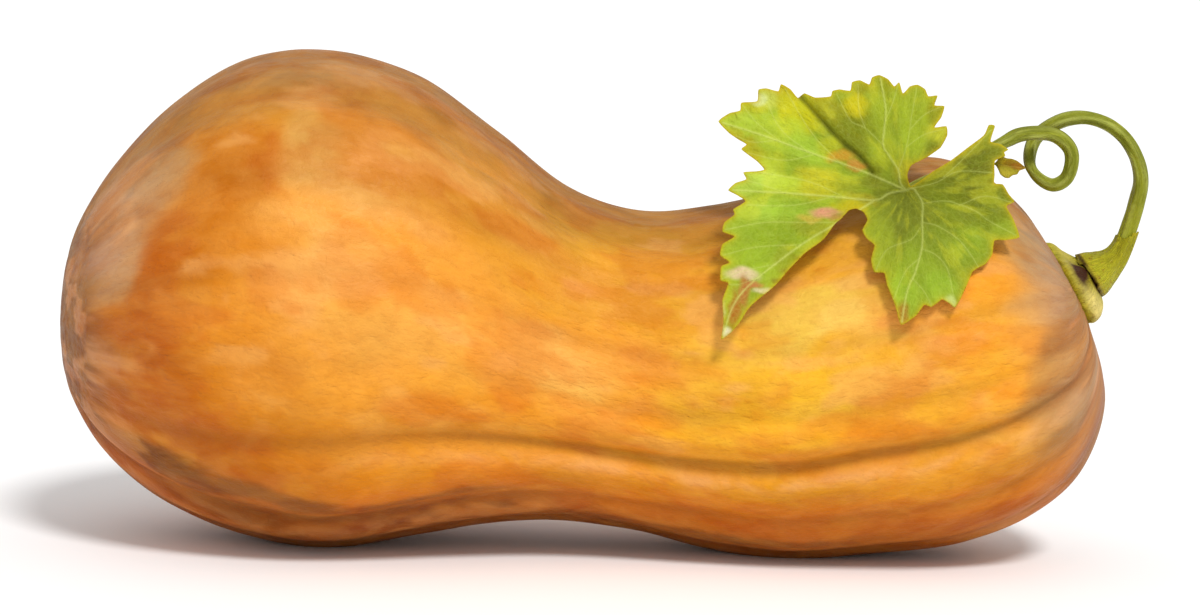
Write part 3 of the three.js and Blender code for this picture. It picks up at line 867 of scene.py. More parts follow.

# %% [markdown]
# The foot is yellow-green with painted cream highlights on its cheeks, the waist and the hollow
# have painted shade in a dark reddish brown, and the sheath is olive with rusty freckles at its base.

# %% Material: stalk
def make_stalk_material():
    material, tree, shader = start_material("corky_stalk", 0.48, 0.2)
    streaks = use_group(tree, streaks_group, Flow=mark(tree, "flow", "Vector"), Across=5.0, Along=1.6)
    pores = use_group(tree, pores_group, Place=object_place(tree), Size=2600.0, Share=0.45)
    broad, fine = streaks.outputs["Broad"], streaks.outputs["Fine"]
    sheath, freckles = mark(tree, "sheath"), pores.outputs["Freckles"]
    colour = tinted(tree, "c8b81a", "7c7e0a", broad, 0.55)
    colour = tinted(tree, colour, "bdb52c", fine, 0.45)
    # Painted cream highlight on the cheeks of the foot.
    colour = tinted(tree, colour, "f2da84", mark(tree, "cheek_highlight"), 0.75)
    colour = tinted(tree, colour, "b2aa16", sheath, 0.7)
    colour = tinted(tree, colour, "b9bd2a", product(tree, fine, sheath), 0.6)
    colour = tinted(tree, colour, "6c6410", mark(tree, "pits"), 0.5)
    colour = tinted(tree, colour, "7a3a10", freckles, 0.35)
    colour = tinted(tree, colour, "94460e", product(tree, freckles, mark(tree, "rust")), 0.8)
    # Painted shade in the waist and the hollow.
    colour = tinted(tree, colour, "401a04", mark(tree, "waist_shade"))
    colour = tinted(tree, colour, "c4b220", mark(tree, "edge"), 0.5)
    finish_material(tree, shader, colour, broad, (0.42, 0.68))
    relief(tree, shader, [(fine, 0.00025), (pores.outputs["Pores"], 0.00008)])
    return material


stalk_piece.data.materials.append(make_stalk_material())
print("stalk", np.round(stalk.min(0), 1), "to", np.round(stalk.max(0), 1), "mm")

# %% [markdown]
# ## The vine
#
# The vine comes out of the sheath, arches over and turns one full loop before it runs behind the
# leaf. Its strands cross without touching. It is thickest where it leaves the stalk and thins
# towards the leaf, with faint ridges that twist slowly round it.

# %% Points of the vine
# From inside the sheath over the arch and round the loop to the leaf.
VINE_LINE = [
    (262, 0, 76.4), (263.7, 0, 79.4), (265.2, 0, 84), (266.5, -1, 89.4), (267.1, -3, 95.1),
    (266, -4.5, 100.4), (262.9, -6, 105.6), (258.2, -7, 109.4), (253, -8, 111.1), (248, -8.5, 111),
    (243.6, -8, 109.2), (240.3, -7, 106.2), (238.8, -8, 102.8), (238.7, -10, 99.2), (240.7, -12, 96.2),
    (244, -13, 94.7), (247, -13.5, 96.3), (248.2, -14, 99.8), (247.8, -14, 103.4), (245.2, -14, 106.2),
    (241.4, -14.5, 107.4), (235.2, -16.5, 107), (230.2, -19.5, 104.8), (219.6, -25.2, 99.9),
    (208.6, -30.2, 95.2), (206.6, -33, 94),
]
# (share of the length, radius in mm)
VINE_RADII = [
    (0, 2.1), (0.04, 2.25), (0.1, 2.3), (0.15, 2), (0.2, 1.75), (0.3, 1.75), (0.38, 1.85), (0.44, 1.6),
    (0.5, 1.3), (0.56, 1.75), (0.62, 1.85), (0.68, 1.75), (0.76, 1.6), (0.84, 1.1), (0.92, 0.9), (1, 0.75),
]
VINE_RINGS, VINE_AROUND = 760, 40
# Shares of the radius, and how much the ridges twist for each mm of the vine.
RIDGES, RIDGE_SHARE, RIDGE_TWIST, THREAD_SHARE = 5, 0.05, 0.07, 0.025
KNOT_SHARE, KNOT_LENGTH = 0.3, 9
ROUND_END = 0.8


def vine_points():
    run, turn = tube_grid(VINE_RINGS, VINE_AROUND)
    length = along_line(VINE_LINE, np.zeros(1))[4]
    shares, radii = zip(*VINE_RADII)
    from_end = np.minimum(run, 1 - run) * length
    radius = np.interp(run, shares, radii) * np.sqrt(np.clip(from_end / ROUND_END, 0, 1))
    twisted = np.cos(RIDGES * turn + RIDGE_TWIST * run * length)
    around = np.column_stack([np.cos(turn), np.sin(turn)])
    knots = soft_noise(np.column_stack([run * length / KNOT_LENGTH, 0.9 * around]), 51, 2) - 0.5
    ridges = RIDGE_SHARE * twisted + THREAD_SHARE * np.cos(9 * turn - 2)
    reach = radius * (1 + ridges + KNOT_SHARE * knots)
    masks = {
        "flow": np.column_stack([run * length / 25, around]),
        "ridge_highlight": np.clip(0.5 + 0.5 * twisted, 0, 1),
        "base": smooth_ramp(0.2, 0.06, run),
    }
    return rings_on_line(VINE_LINE, run * length, turn, reach), masks, length


vine, vine_masks, vine_length = vine_points()
vine_piece = add_piece(
    "curled_vine", in_scene(vine), ring_faces(VINE_RINGS, VINE_AROUND), vine_masks, "vine"
)
print("vine", round(vine_length), "mm long")

# %% [markdown]
# The vine is olive. Its ridges carry a painted pale highlight where the dark streaks leave them
# free, and its base near the sheath is more yellow.

# %% Material: vine
def make_vine_material():
    material, tree, shader = start_material("green_vine", 0.42, 0.2)
    streaks = use_group(tree, streaks_group, Flow=mark(tree, "flow", "Vector"), Across=1.1, Along=2.6)
    pores = use_group(tree, pores_group, Place=object_place(tree), Size=2200.0, Share=0.3)
    broad, fine = streaks.outputs["Broad"], streaks.outputs["Fine"]
    colour = tinted(tree, "8c9012", "5e6408", broad, 0.75)
    # Painted highlight along the ridges.
    free_ridge_highlight = product(tree, mark(tree, "ridge_highlight"), maths(tree, "SUBTRACT", 1.0, broad))
    colour = tinted(tree, colour, "c2c870", free_ridge_highlight, 0.45)
    colour = tinted(tree, colour, "a3a838", fine, 0.25)
    colour = tinted(tree, colour, "9a9c1c", mark(tree, "base"), 0.6)
    colour = tinted(tree, colour, "84701a", pores.outputs["Freckles"], 0.3)
    finish_material(tree, shader, colour, broad, (0.36, 0.55))
    relief(tree, shader, [(fine, 0.00015), (pores.outputs["Pores"], 0.00005)])
    return material


vine_piece.data.materials.append(make_vine_material())

# %% [markdown]
# ## The leaf
#
# One blade with five lobes hangs over the fruit's shoulder. Its margin is drawn flat, lobe after
# lobe, in millimetres right and up from the spot where the veins meet. The flat shape is filled
# with a fine net of triangles. Every point is then pushed towards or away from the showing side:
# the blade droops over the fruit, puffs up between its veins, and curls at some edges.

# %% The margin of the leaf
LEAF_JUNCTION = (206.2, -34, 93.9)
UPPER_LEFT_LOBE = [
    (-44.8, 14.6), (-42.2, 16.6), (-39.6, 17.4), (-39.3, 19.2), (-35.5, 19.7), (-35.2, 22.4), (-33.3, 22.8),
    (-30.4, 22.2), (-29.7, 23.9), (-27.5, 22.8), (-25.6, 20.7),
]
TOP_LOBE = [
    (-24.1, 21.9), (-21.5, 21), (-17.9, 21.4), (-17.4, 22.7), (-15.7, 23.1), (-13.1, 22.9), (-12.6, 24.9),
    (-10.7, 25.4), (-8.5, 24.5), (-7.8, 26.2), (-6.1, 26.8), (-4, 25.9), (-2.5, 24.2), (-1.3, 25.2),
    (-0.4, 22.6), (1.3, 24.3), (3.3, 24.7), (5, 23.7), (5.7, 22.1), (7.9, 22.3), (7.2, 20), (9.6, 19.8),
    (8.8, 17.2), (7.1, 14.8), (10, 15.1), (10.2, 13), (8.5, 10.1), (5.5, 8), (1.3, 5.8), (0.3, 3.5),
]
RIGHT_LOBE = [
    (1.2, 1), (6.4, 4.5), (10.8, 7.1), (15.3, 10.2), (19.3, 13.1), (20.6, 15.5), (22.1, 15.3), (20.9, 11.7),
    (23.2, 11.1), (25.1, 9.9), (24.1, 9.2), (24.3, 8.3), (21.8, 7.1), (21.6, 3.8), (21.4, 2), (23.4, 1.8),
    (24.7, -0.3), (26.1, -2.1), (24.2, -3.3), (25.8, -6.2), (27.1, -10.3), (23.6, -11), (21, -11.1),
    (20.4, -14.3), (18.7, -16.5), (15.7, -18.2), (14, -21.8), (11.3, -26.4), (9.9, -25.5), (8.2, -24.6),
    (7, -25.5), (5.6, -26.4), (3.9, -26), (1.8, -28.6), (-1.5, -30.7), (-2.9, -26.2), (-4.8, -21.7),
    (-5.5, -19), (-7.8, -18.9), (-8.5, -16), (-7.7, -12.8), (-9.6, -11.2), (-10.5, -9.4), (-9.3, -7.1),
    (-10.2, -5.3), (-12.1, -4.5), (-13.8, -5), (-15.5, -6.9),
]
LOWER_LEFT_LOBE = [
    (-17.1, -8.3), (-20, -12.1), (-24.4, -15.4), (-28.2, -19.4), (-31, -22.7), (-34.5, -25.8),
    (-37.3, -28.4), (-38.9, -31), (-41.2, -33.9), (-43.5, -35.6), (-43.1, -31.7), (-43.4, -26.6),
    (-42.1, -22.7), (-44, -22.1), (-43.8, -18.9), (-41.9, -17.9), (-44.1, -16.4), (-43.6, -13.8),
    (-40.8, -11.9), (-43.6, -10.9), (-43.2, -8.8), (-40.8, -6.9), (-41.1, -5.7), (-38.2, -3.8),
]
LEFT_LOBE = [
    (-40.1, -2.5), (-42.3, -1.4), (-40.6, 0.3), (-38, 1.3), (-38.7, 2.9), (-35.6, 3.2), (-33.7, 3.7),
    (-35.4, 5.5), (-39.2, 8.2), (-38, 9.4), (-40, 10.5), (-42.2, 11.9),
]
LEAF_MARGIN = UPPER_LEFT_LOBE + TOP_LOBE + RIGHT_LOBE + LOWER_LEFT_LOBE + LEFT_LOBE

# %% [markdown]
# The veins fan out from the junction, one into each lobe, and side veins run from them to the
# teeth. Each vein is a short list of places.

# %% The veins of the leaf
MAIN_VEINS = [
    [(0, 0), (-4.6, 1.9), (-9.2, 3.7), (-15.6, 5.8), (-21.5, 7.6), (-34.9, 11.9), (-43.8, 14.3)],
    [(0, 0), (-4, -0.8), (-7.4, -2.5), (-15.6, -2.1), (-28.5, -1.6), (-41, -1.3)],
    [(-7.4, -2.5), (-11.4, -4.9), (-16.4, -7.8), (-24.4, -12.9), (-29.9, -17), (-35.3, -21.3),
     (-39.2, -25.3), (-41.5, -29.3), (-43, -34.5)],
    [(0, 0), (-1.4, 1.8), (-1.8, 4.6), (-3.9, 7.8), (-5.3, 10.3), (-5, 14), (-4.6, 19), (-5.8, 26)],
    [(0, 0), (1.5, 0.5), (2.6, -0.6), (3.8, -2.9), (3.7, -6.5), (3.6, -12.7), (1.8, -18.6), (0.1, -22.5),
     (-1.3, -30)],
]
SIDE_VEINS = [
    [(-5.3, 10.3), (-9.5, 14.1), (-13.1, 15.9), (-16.4, 22)], [(-1.8, 4.6), (0.5, 11.1), (1.5, 17), (3, 24)],
    [(-9.5, 14.1), (-11, 18.5), (-11.2, 24.6)], [(0.2, 10), (4.5, 13), (9.4, 14.4)],
    [(1, 14), (4.6, 17.6), (8.9, 19.7)], [(-4.8, 16), (-3, 20), (-1.6, 24.6)],
    [(3.8, -2.9), (9.8, -2.3), (16.3, -4.3), (19.9, -6.7), (26.4, -9.9)],
    [(3.7, -7.2), (7.5, -8.1), (12.3, -11), (15.3, -14.5), (17, -17.2)],
    [(3.6, -13.3), (6.9, -14.7), (9.7, -18), (11.2, -25.6)],
    [(3.2, -8.4), (1, -11.1), (-4.7, -13.6), (-7.4, -18.4)],
    [(1.5, 0.5), (7.3, 2), (12.7, 4.6), (21, 4.4)], [(12.7, -3.2), (19, -1), (25.4, -2.3)],
    [(2.9, -15.4), (-0.6, -18.5), (-3.2, -24.8)], [(1.2, -20), (4, -23), (5.6, -26)],
    [(9, 3.2), (15, 8.4), (21.2, 14.4)], [(-16.4, -7.8), (-25, -8.2), (-33.7, -8.5), (-43, -10.4)],
    [(-25.2, -13.3), (-35.8, -14.2), (-43.4, -16.4)],
    [(-31, -18), (-38, -19.5), (-43.6, -21.8)], [(-35.3, -21.3), (-39.5, -22.9), (-42, -23)],
    [(-15.6, 5.8), (-21, 11), (-25, 16.5), (-28.6, 22.6)], [(-23, 8), (-30, 13.5), (-34, 21.8)],
    [(-30, 10.4), (-35.6, 14.6), (-39, 18.6)], [(-21.5, 7.6), (-29, 6), (-37.6, 7.4)],
    [(-31, 10.6), (-36.5, 10), (-40.4, 11.2)], [(-14.6, -2.1), (-23, 1.2), (-35, 3)],
    [(-17, -2), (-27, -4.4), (-38, -4.6)], [(-28.5, -1.6), (-34.5, 0.2), (-38, 1)],
]
LEAF_FOLD = [(-8, 3.7), (-10.8, 7.1), (-15.5, 10.9), (-20.6, 16.2), (-25.1, 20.9)]


def gap_to_chain(places, chain):
    """The distance in mm from each (n, 2) place to the nearest straight step of a chain of points."""
    nearest = np.full(len(places), 1e9)
    for start, end in zip(chain[:-1], chain[1:]):
        step = end - start
        part = np.clip(((places - start) @ step) / max(step @ step, 1e-12), 0, 1)
        nearest = np.minimum(nearest, np.linalg.norm(places - start - part[:, None] * step, axis=1))
    return nearest


def gap_to_line(places, line):
    """The same for the smooth curve through a few points."""
    return gap_to_chain(places, smooth_line(line, np.linspace(0, len(line) - 1, 8 * len(line))))


print(len(MAIN_VEINS), "main veins and", len(SIDE_VEINS), "side veins")

# %% [markdown]
# A blade is made in three steps. The margin's corners are softened a little, the inside is filled
# with evenly spread points, and Blender's triangulator joins them all without crossing the
# margin. A second copy behind the first, with a strip round the edge, gives the blade its
# thickness: a real closed body and not a sheet of paper.

# %% Fill a flat outline with triangles
CORNER_SOFTNESS = 0.5
# Shares of the spacing: between two rows of points, of their scatter, between points on a vein, and
# how far the scattered points keep from a vein and from the margin.
ROW_STEP, SCATTER, VEIN_STEP, VEIN_CLEAR, MARGIN_CLEAR = 0.866, 0.14, 0.8, 0.35, 0.4


def soft_margin(corners, spacing):
    """The outline with extra points every spacing mm and slightly rounded corners."""
    corners = np.asarray(corners, float)
    places = []
    for k in range(len(corners)):
        start, end = corners[k], corners[(k + 1) % len(corners)]
        parts = np.arange(0, 1, 1 / max(1, round(np.linalg.norm(end - start) / spacing)))
        straight = start + (end - start) * parts[:, None]
        rounded = smooth_line(corners, k + parts, closed=True)
        places.append(straight + (rounded - straight) * CORNER_SOFTNESS)
    return np.vstack(places)


def vein_rows(veins, offsets, spacing):
    """Rows of points on each vein and beside it, so that a narrow vein has points of its own."""
    rows = []
    for vein in veins:
        smooth = smooth_line(vein, np.linspace(0, len(vein) - 1, 40 * len(vein)))
        reached = np.concatenate([[0], np.cumsum(np.linalg.norm(np.diff(smooth, axis=0), axis=1))])
        stops = np.arange(0, reached[-1], spacing)
        line = np.column_stack([np.interp(stops, reached, smooth[:, k]) for k in range(2)])
        ahead = np.gradient(line, axis=0)
        ahead /= np.linalg.norm(ahead, axis=1)[:, None]
        aside = np.column_stack([-ahead[:, 1], ahead[:, 0]])
        rows += [line + aside * offset for offset in offsets]
    return np.vstack(rows)


def inside(places, ring):
    """Which places lie inside a closed ring of points."""
    odd = np.zeros(len(places), bool)
    for (x0, y0), (x1, y1) in zip(ring[:-1], ring[1:]):
        spans = (y0 > places[:, 1]) != (y1 > places[:, 1])
        if spans.any():
            odd ^= spans & (places[:, 0] < x0 + (x1 - x0) * (places[:, 1] - y0) / (y1 - y0 + 1e-12))
    return odd


def filled(margin, spacing, seed, veins, offsets):
    """Triangles inside a margin: (n, 2) places, the faces, and each place's gap to the margin."""
    low, high = margin.min(0), margin.max(0)
    columns = np.arange(low[0], high[0], spacing)
    lines = np.arange(low[1], high[1], spacing * ROW_STEP)
    across, up = np.meshgrid(columns, lines)
    across[1::2] += spacing / 2
    inner = np.column_stack([across.ravel(), up.ravel()])
    inner += np.random.default_rng(seed).uniform(-SCATTER, SCATTER, inner.shape) * spacing
    from_vein = np.min([gap_to_line(inner, vein) for vein in veins], axis=0)
    clear = from_vein > offsets[-1] + spacing * VEIN_CLEAR
    inner = np.vstack([vein_rows(veins, offsets, spacing * VEIN_STEP), inner[clear]])
    ring = np.vstack([margin, margin[:1]])
    inner = inner[inside(inner, ring) & (gap_to_chain(inner, ring) > spacing * MARGIN_CLEAR)]
    corners = [Vector(p) for p in np.vstack([margin, inner])]
    edge = [list(range(len(margin)))]
    places, _, faces, *_ = delaunay_2d_cdt(corners, [], edge, 1, 1e-5)
    places = np.array([tuple(p) for p in places])
    return places, [tuple(f) for f in faces], gap_to_chain(places, ring)


def blade_body(front, back, faces):
    """Joins a front and a back sheet with the same faces into one closed body."""
    count = len(front)
    used = {}
    for face in faces:
        for k in range(len(face)):
            pair = (face[k], face[(k + 1) % len(face)])
            used[pair] = used.get((pair[1], pair[0]), 0) + 1
    edges = [pair for pair in used if (pair[1], pair[0]) not in used]
    body = [tuple(face) for face in faces]
    body += [tuple(k + count for k in reversed(face)) for face in faces]
    body += [(b, a, a + count, b + count) for a, b in edges]
    return np.vstack([front, back]), body

# %% [markdown]
# The blade's form is a sum of simple ones: a droop over the shoulder of the fruit, a puff between
# the veins, a deep fold between the two upper lobes, a rolled edge between the two lower ones, a
# slow wave, a quick ripple along the margin, and veins that stand up. The blade is thinner at its
# edge than in its middle.

# %% The form of the leaf
LEAF_SPACING = 0.36
VEIN_OFFSETS = (-0.14, 0, 0.14)
LEAF_THICKNESS, EDGE_THICKNESS_SHARE, THIN_EDGE_MM = 0.45, 0.35, 2.2
# The droop: mm towards the showing side for each mm down, and how it eases far from the junction.
DROOP, DROOP_EASE = 0.62, 0.0001
SPREAD, SPREAD_ROUND = 0.15, 4
SET_BACK = 0.15
PUFF_MM, PUFF_WIDTH, SIDE_VEIN_LEAD = 1.1, 2.6, 0.6
WAVE_MM, WAVE_LENGTH = 2.4, 9
RIPPLE_MM, RIPPLE_LENGTH, RIPPLE_REACH = 1.6, 3.6, 3
FOLD_MM, FOLD_HALF_WIDTH = 1.0, 0.7
BANK_MM, BANK_FROM_FOLD, BANK_HALF_WIDTH = 0.5, 2.2, 1.6
ROLL_MM, ROLL_RIGHT, ROLL_UP, ROLL_HALF_WIDTH, ROLL_HALF_HEIGHT = 1.8, -12.3, -5.4, 3.4, 2.2
MAIN_HALF_WIDTH, MAIN_VEIN_MM = 0.2, 0.22
SIDE_HALF_WIDTH, SIDE_VEIN_MM = 0.12, 0.12


def flat_noise(places, length, level, seed):
    """Soft noise from -0.5 to 0.5 over flat places, one value for each length in mm."""
    return soft_noise(np.column_stack([places / length, np.full(len(places), level)]), seed, 2) - 0.5


def leaf_form(places, from_margin):
    right, up = places[:, 0], places[:, 1]
    main = np.min([gap_to_line(places, vein) for vein in MAIN_VEINS], axis=0)
    side = np.min([gap_to_line(places, vein) for vein in SIDE_VEINS], axis=0)
    fold = gap_to_line(places, LEAF_FOLD)
    puff = PUFF_MM * (1 - hill(np.minimum(main, side + SIDE_VEIN_LEAD), 0, PUFF_WIDTH))
    at_margin = np.exp(-from_margin / RIPPLE_REACH)
    depth = LEAF_JUNCTION[1] + (DROOP * up - DROOP_EASE * up**3)
    depth = depth + SPREAD * (np.hypot(right, SPREAD_ROUND) - SPREAD_ROUND) + SET_BACK
    depth -= puff * (1 - 0.5 * at_margin)
    depth += WAVE_MM * flat_noise(places, WAVE_LENGTH, 0.0, 61)
    depth += RIPPLE_MM * flat_noise(places, RIPPLE_LENGTH, 1.0, 62) * at_margin
    depth += FOLD_MM * hill(fold, 0, FOLD_HALF_WIDTH)
    depth -= BANK_MM * hill(fold, BANK_FROM_FOLD, BANK_HALF_WIDTH)
    depth -= ROLL_MM * hill(right, ROLL_RIGHT, ROLL_HALF_WIDTH) * hill(up, ROLL_UP, ROLL_HALF_HEIGHT)
    depth -= MAIN_VEIN_MM * hill(main, 0, MAIN_HALF_WIDTH) + SIDE_VEIN_MM * hill(side, 0, SIDE_HALF_WIDTH)
    return depth, main, side, fold


margin = soft_margin(LEAF_MARGIN, LEAF_SPACING)
leaf_places, leaf_faces, leaf_away = filled(
    margin[::-1], LEAF_SPACING, 71, MAIN_VEINS + SIDE_VEINS, VEIN_OFFSETS
)
leaf_far, main_gap, side_gap, fold_gap = leaf_form(leaf_places, leaf_away)
print("leaf margin", len(margin), "points, blade", len(leaf_places), "points")

# %% [markdown]
# The blade is bright green on the left, where it stands up in the light, and olive on the right.
# Yellow runs in from the margin and along the fold, the tips are scorched, and two spots by the
# lower lobes are pink. The blotches are listed lobe by lobe, in mm right and up from the junction.

# %% Blotches of the leaf
LEAF_GROUND = "a4b840"
LEAF_PATCHES = [
    # the right lobe: olive, greener towards its tip
    (10, -6, 19, 22, "828c22", 0.95), (15, 6, 11, 8, "666802", 0.95), (20, 1, 8, 9, "6e7004", 0.95),
    (0, -6, 8, 8, "7f8430", 0.9), (22, -6, 7, 7, "7c8814", 0.85), (8, -13, 9, 6, "8f9f3a", 0.85),
    (2, -21, 7, 8, "9fb63e", 0.9), (-6, -13, 3.5, 8, "a9b744", 0.8), (-1, -24, 4, 5, "b2d256", 0.85),
    (8, -22, 5, 4, "a0c04c", 0.85), (16, -13, 5, 5, "93ab38", 0.8), (24, -9, 4, 2.5, "9cb13c", 0.8),
    # the top lobe: olive in the fold, yellow at one tooth, green to the right
    (-13, 13, 7, 8, "7a7a06", 0.9), (-20, 18, 5, 4, "9a920e", 0.9), (-11.4, 19.6, 3.2, 3.6, "dcca14", 0.9),
    (-9.5, 24, 3, 2, "9c9410", 0.85), (-5, 17, 4, 9, "a5b237", 0.85), (-5.8, 24, 3, 3, "9ea323", 0.8),
    (3, 17, 5, 7, "a3b236", 0.85), (8, 18, 2.6, 4, "8d8e12", 0.9), (1.6, 11, 4, 4, "b0c243", 0.85),
    (7.6, 13.4, 3, 2.6, "cfd052", 0.8), (0, 4.6, 2.6, 3, "c2b834", 0.8), (-6, 6.4, 3.4, 2, "a8ad2c", 0.8),
    (-4, 9, 2.5, 3, "bfc644", 0.8), (-7, 4.2, 2.5, 1.6, "8a8c22", 0.8),
    # the upper left lobe: pale tip, yellow beside the fold
    (-40, 15, 6, 4, "bfd661", 0.9), (-36, 19, 4, 2.6, "c4c22c", 0.85), (-32.4, 21, 3, 3, "dbe08c", 0.9),
    (-28, 18, 3, 5, "cbcb36", 0.85), (-29, 22.6, 2.4, 1.8, "b59c16", 0.85),
    (-24.5, 15.5, 3.4, 5, "d6cf20", 0.9), (-28.5, 19.5, 2.6, 3, "d2c81c", 0.8),
    (-30, 12, 7, 4, "bdd052", 0.85), (-23, 9, 6, 3.4, "b3d258", 0.85), (-18, 9.6, 3, 2.6, "cfd040", 0.8),
    (-37, 8.4, 3, 3, "c0b427", 0.8), (-41, 12, 2.4, 1.6, "c9c03c", 0.7),
    # the left lobe
    (-29, 2, 9, 3.6, "bcdc62", 0.9), (-27, 4.6, 4, 2.4, "9db236", 0.8), (-34, 2.4, 5, 2.4, "d2ee8c", 0.9),
    (-39, -0.6, 3.4, 2, "cdea84", 0.85), (-21, 2.4, 5.4, 2.6, "dcd040", 0.9),
    (-21, -0.6, 5, 1.8, "d0c22c", 0.85), (-14.6, 0.6, 4, 2.4, "b4b634", 0.8),
    (-11, -2.6, 5, 1.5, "b4a136", 0.8), (-8, 1.6, 3.6, 2, "87872a", 0.8), (-5, -1.2, 3, 1.3, "7f8230", 0.7),
    # the lower left lobe: fresh green
    (-36, -6, 6, 3, "b3d267", 0.85), (-27, -5.5, 6, 2.6, "a9ca52", 0.8), (-38, -12, 5, 4, "a7c34b", 0.85),
    (-30, -12, 7, 3.6, "97b033", 0.85), (-22, -9, 5, 2.6, "9a9d30", 0.8), (-15, -4, 3, 1.4, "c9c01c", 0.85),
    (-36, -18, 5, 3.6, "a7c245", 0.85), (-28, -16.6, 4, 2.6, "9aa42c", 0.8),
    (-42, -19, 2.4, 4, "b5ca50", 0.8), (-38, -27.5, 2, 3, "a2a42c", 0.7),
]
# Pink and scorched spots, tips dried almost white, and dark olive marks of painted shade under
# the curled margin of the lower left lobe.
LEAF_SPOTS = [
    (-15, 7.2, 3.4, 1.5, "d8982c", 0.8), (-11.5, 5.2, 2.4, 1.1, "cc7a34", 0.75),
    (-18.8, -5.6, 4, 1.2, "e09078", 0.9), (-16, -7, 2.4, 0.8, "b8684c", 0.7), (-23, -7, 3, 1, "d8b048", 0.6),
    (-12.6, -4.6, 3.4, 1.5, "c2b20c", 0.95), (-39, -20.6, 4, 1.3, "eccba8", 0.9),
    (-36.4, -22.6, 2.6, 1, "c96e4a", 0.85), (-38, -24.6, 1.5, 3.4, "b05a30", 0.85),
    # This line ends with a mark of painted shade under the curled margin.
    (-33.6, -24.2, 2.4, 0.9, "e6d8a8", 0.9), (-30.4, -21.8, 1.4, 0.8, "6c5410", 0.8),
    (-40.4, -28.6, 1.7, 4.6, "a8541c", 0.9), (-43.2, -31, 0.7, 4, "e9dcc0", 0.9),
    (-41.8, -34.2, 1.2, 1.4, "efe4cc", 0.9), (-0.9, -28.8, 1.3, 3.2, "a4521c", 0.9),
    (10.4, -25.4, 1.7, 1.6, "cfe08c", 0.85), (-35.5, 20.4, 2.4, 1.4, "d8e2a0", 0.7),
    # Painted shade under the curled margin of the lower left lobe.
    (-23, -15.6, 3, 0.8, "6e6410", 0.7), (-27.6, -19.4, 2.4, 0.9, "705a10", 0.7),
]

# %% [markdown]
# The leaf is painted as the skin was: blotches on a slightly bent map, a yellow-green glaze over
# them, then light and dark strokes and gold ones that fan out from the junction. The spots and
# scorched tips come last, so that no stroke crosses them.

# %% Paint and masks of the leaf
LEAF_GLAZE = "e6e894"
LEAF_BEND_MM, LEAF_BEND_LENGTH = 2.2, 3.2
FAN_LENGTH = 14
LEAF_STROKES = (2.2, 7, 7)
LEAF_DAPPLE = 0.5
LEAF_GOLD, LEAF_GOLD_SHARE, LEAF_GOLD_FROM = "d2d02c", 0.32, (0.54, 0.7)
# How far in mm the golden edge and the yellow rim reach in from the margin, and the dark of the fold.
LEAF_EDGE_AND_RIM, FOLD_LINE = (0.38, 1.6), 0.55


def leaf_flow(places):
    """A streak map that fans out from the junction."""
    distance = np.hypot(places[:, 0], places[:, 1])
    angle = np.arctan2(places[:, 1], places[:, 0])
    return np.column_stack([distance / FAN_LENGTH, np.cos(angle), np.sin(angle)])


def paint_leaf():
    bend = [flat_noise(leaf_places, LEAF_BEND_LENGTH, 0.0, seed) for seed in (81, 82)]
    bent = leaf_places + LEAF_BEND_MM * np.column_stack(bend)
    tone = painted(LEAF_GROUND, bent, LEAF_PATCHES) * linear(LEAF_GLAZE)
    fan = leaf_flow(leaf_places) * LEAF_STROKES
    tone = tone * (1 + LEAF_DAPPLE * (soft_noise(fan, 83, 3) - 0.5))[:, None]
    gold = (LEAF_GOLD_SHARE * smooth_ramp(*LEAF_GOLD_FROM, soft_noise(fan + 5, 84, 3)))[:, None]
    return painted(tone * (1 - gold) + linear(LEAF_GOLD) * gold, bent, LEAF_SPOTS)


def blade_masks(tone, main, side, from_margin, edge_and_rim, fold, flow):
    """The masks of a blade, first for its front sheet and then for its back sheet."""
    edge_width, rim_width = edge_and_rim
    front = {
        "tone": tone, "vein": main, "side_vein": side, "fold": fold, "flow": flow,
        "edge": np.exp(-from_margin / edge_width), "rim": np.exp(-from_margin / rim_width),
        "under": np.zeros(len(tone)),
    }
    back = {**front, "under": np.ones(len(tone))}
    return {name: np.concatenate([front[name], back[name]]) for name in front}


leaf_masks = blade_masks(
    paint_leaf(), hill(main_gap, 0, MAIN_HALF_WIDTH), hill(side_gap, 0, SIDE_HALF_WIDTH), leaf_away,
    LEAF_EDGE_AND_RIM, hill(fold_gap, 0, FOLD_LINE), leaf_flow(leaf_places),
)

# %% Build the leaf
def sheet_points(places, depth, junction):
    return np.column_stack([places[:, 0] + junction[0], depth, places[:, 1] + junction[2]])


thick_share = EDGE_THICKNESS_SHARE + (1 - EDGE_THICKNESS_SHARE) * smooth_ramp(0, THIN_EDGE_MM, leaf_away)
leaf_front = sheet_points(leaf_places, leaf_far, LEAF_JUNCTION)
leaf_back = sheet_points(leaf_places, leaf_far + LEAF_THICKNESS * thick_share, LEAF_JUNCTION)
leaf_points, leaf_body = blade_body(leaf_front, leaf_back, leaf_faces)
leaf_piece = add_piece("lobed_leaf", in_scene(leaf_points), leaf_body, leaf_masks, "leaf")
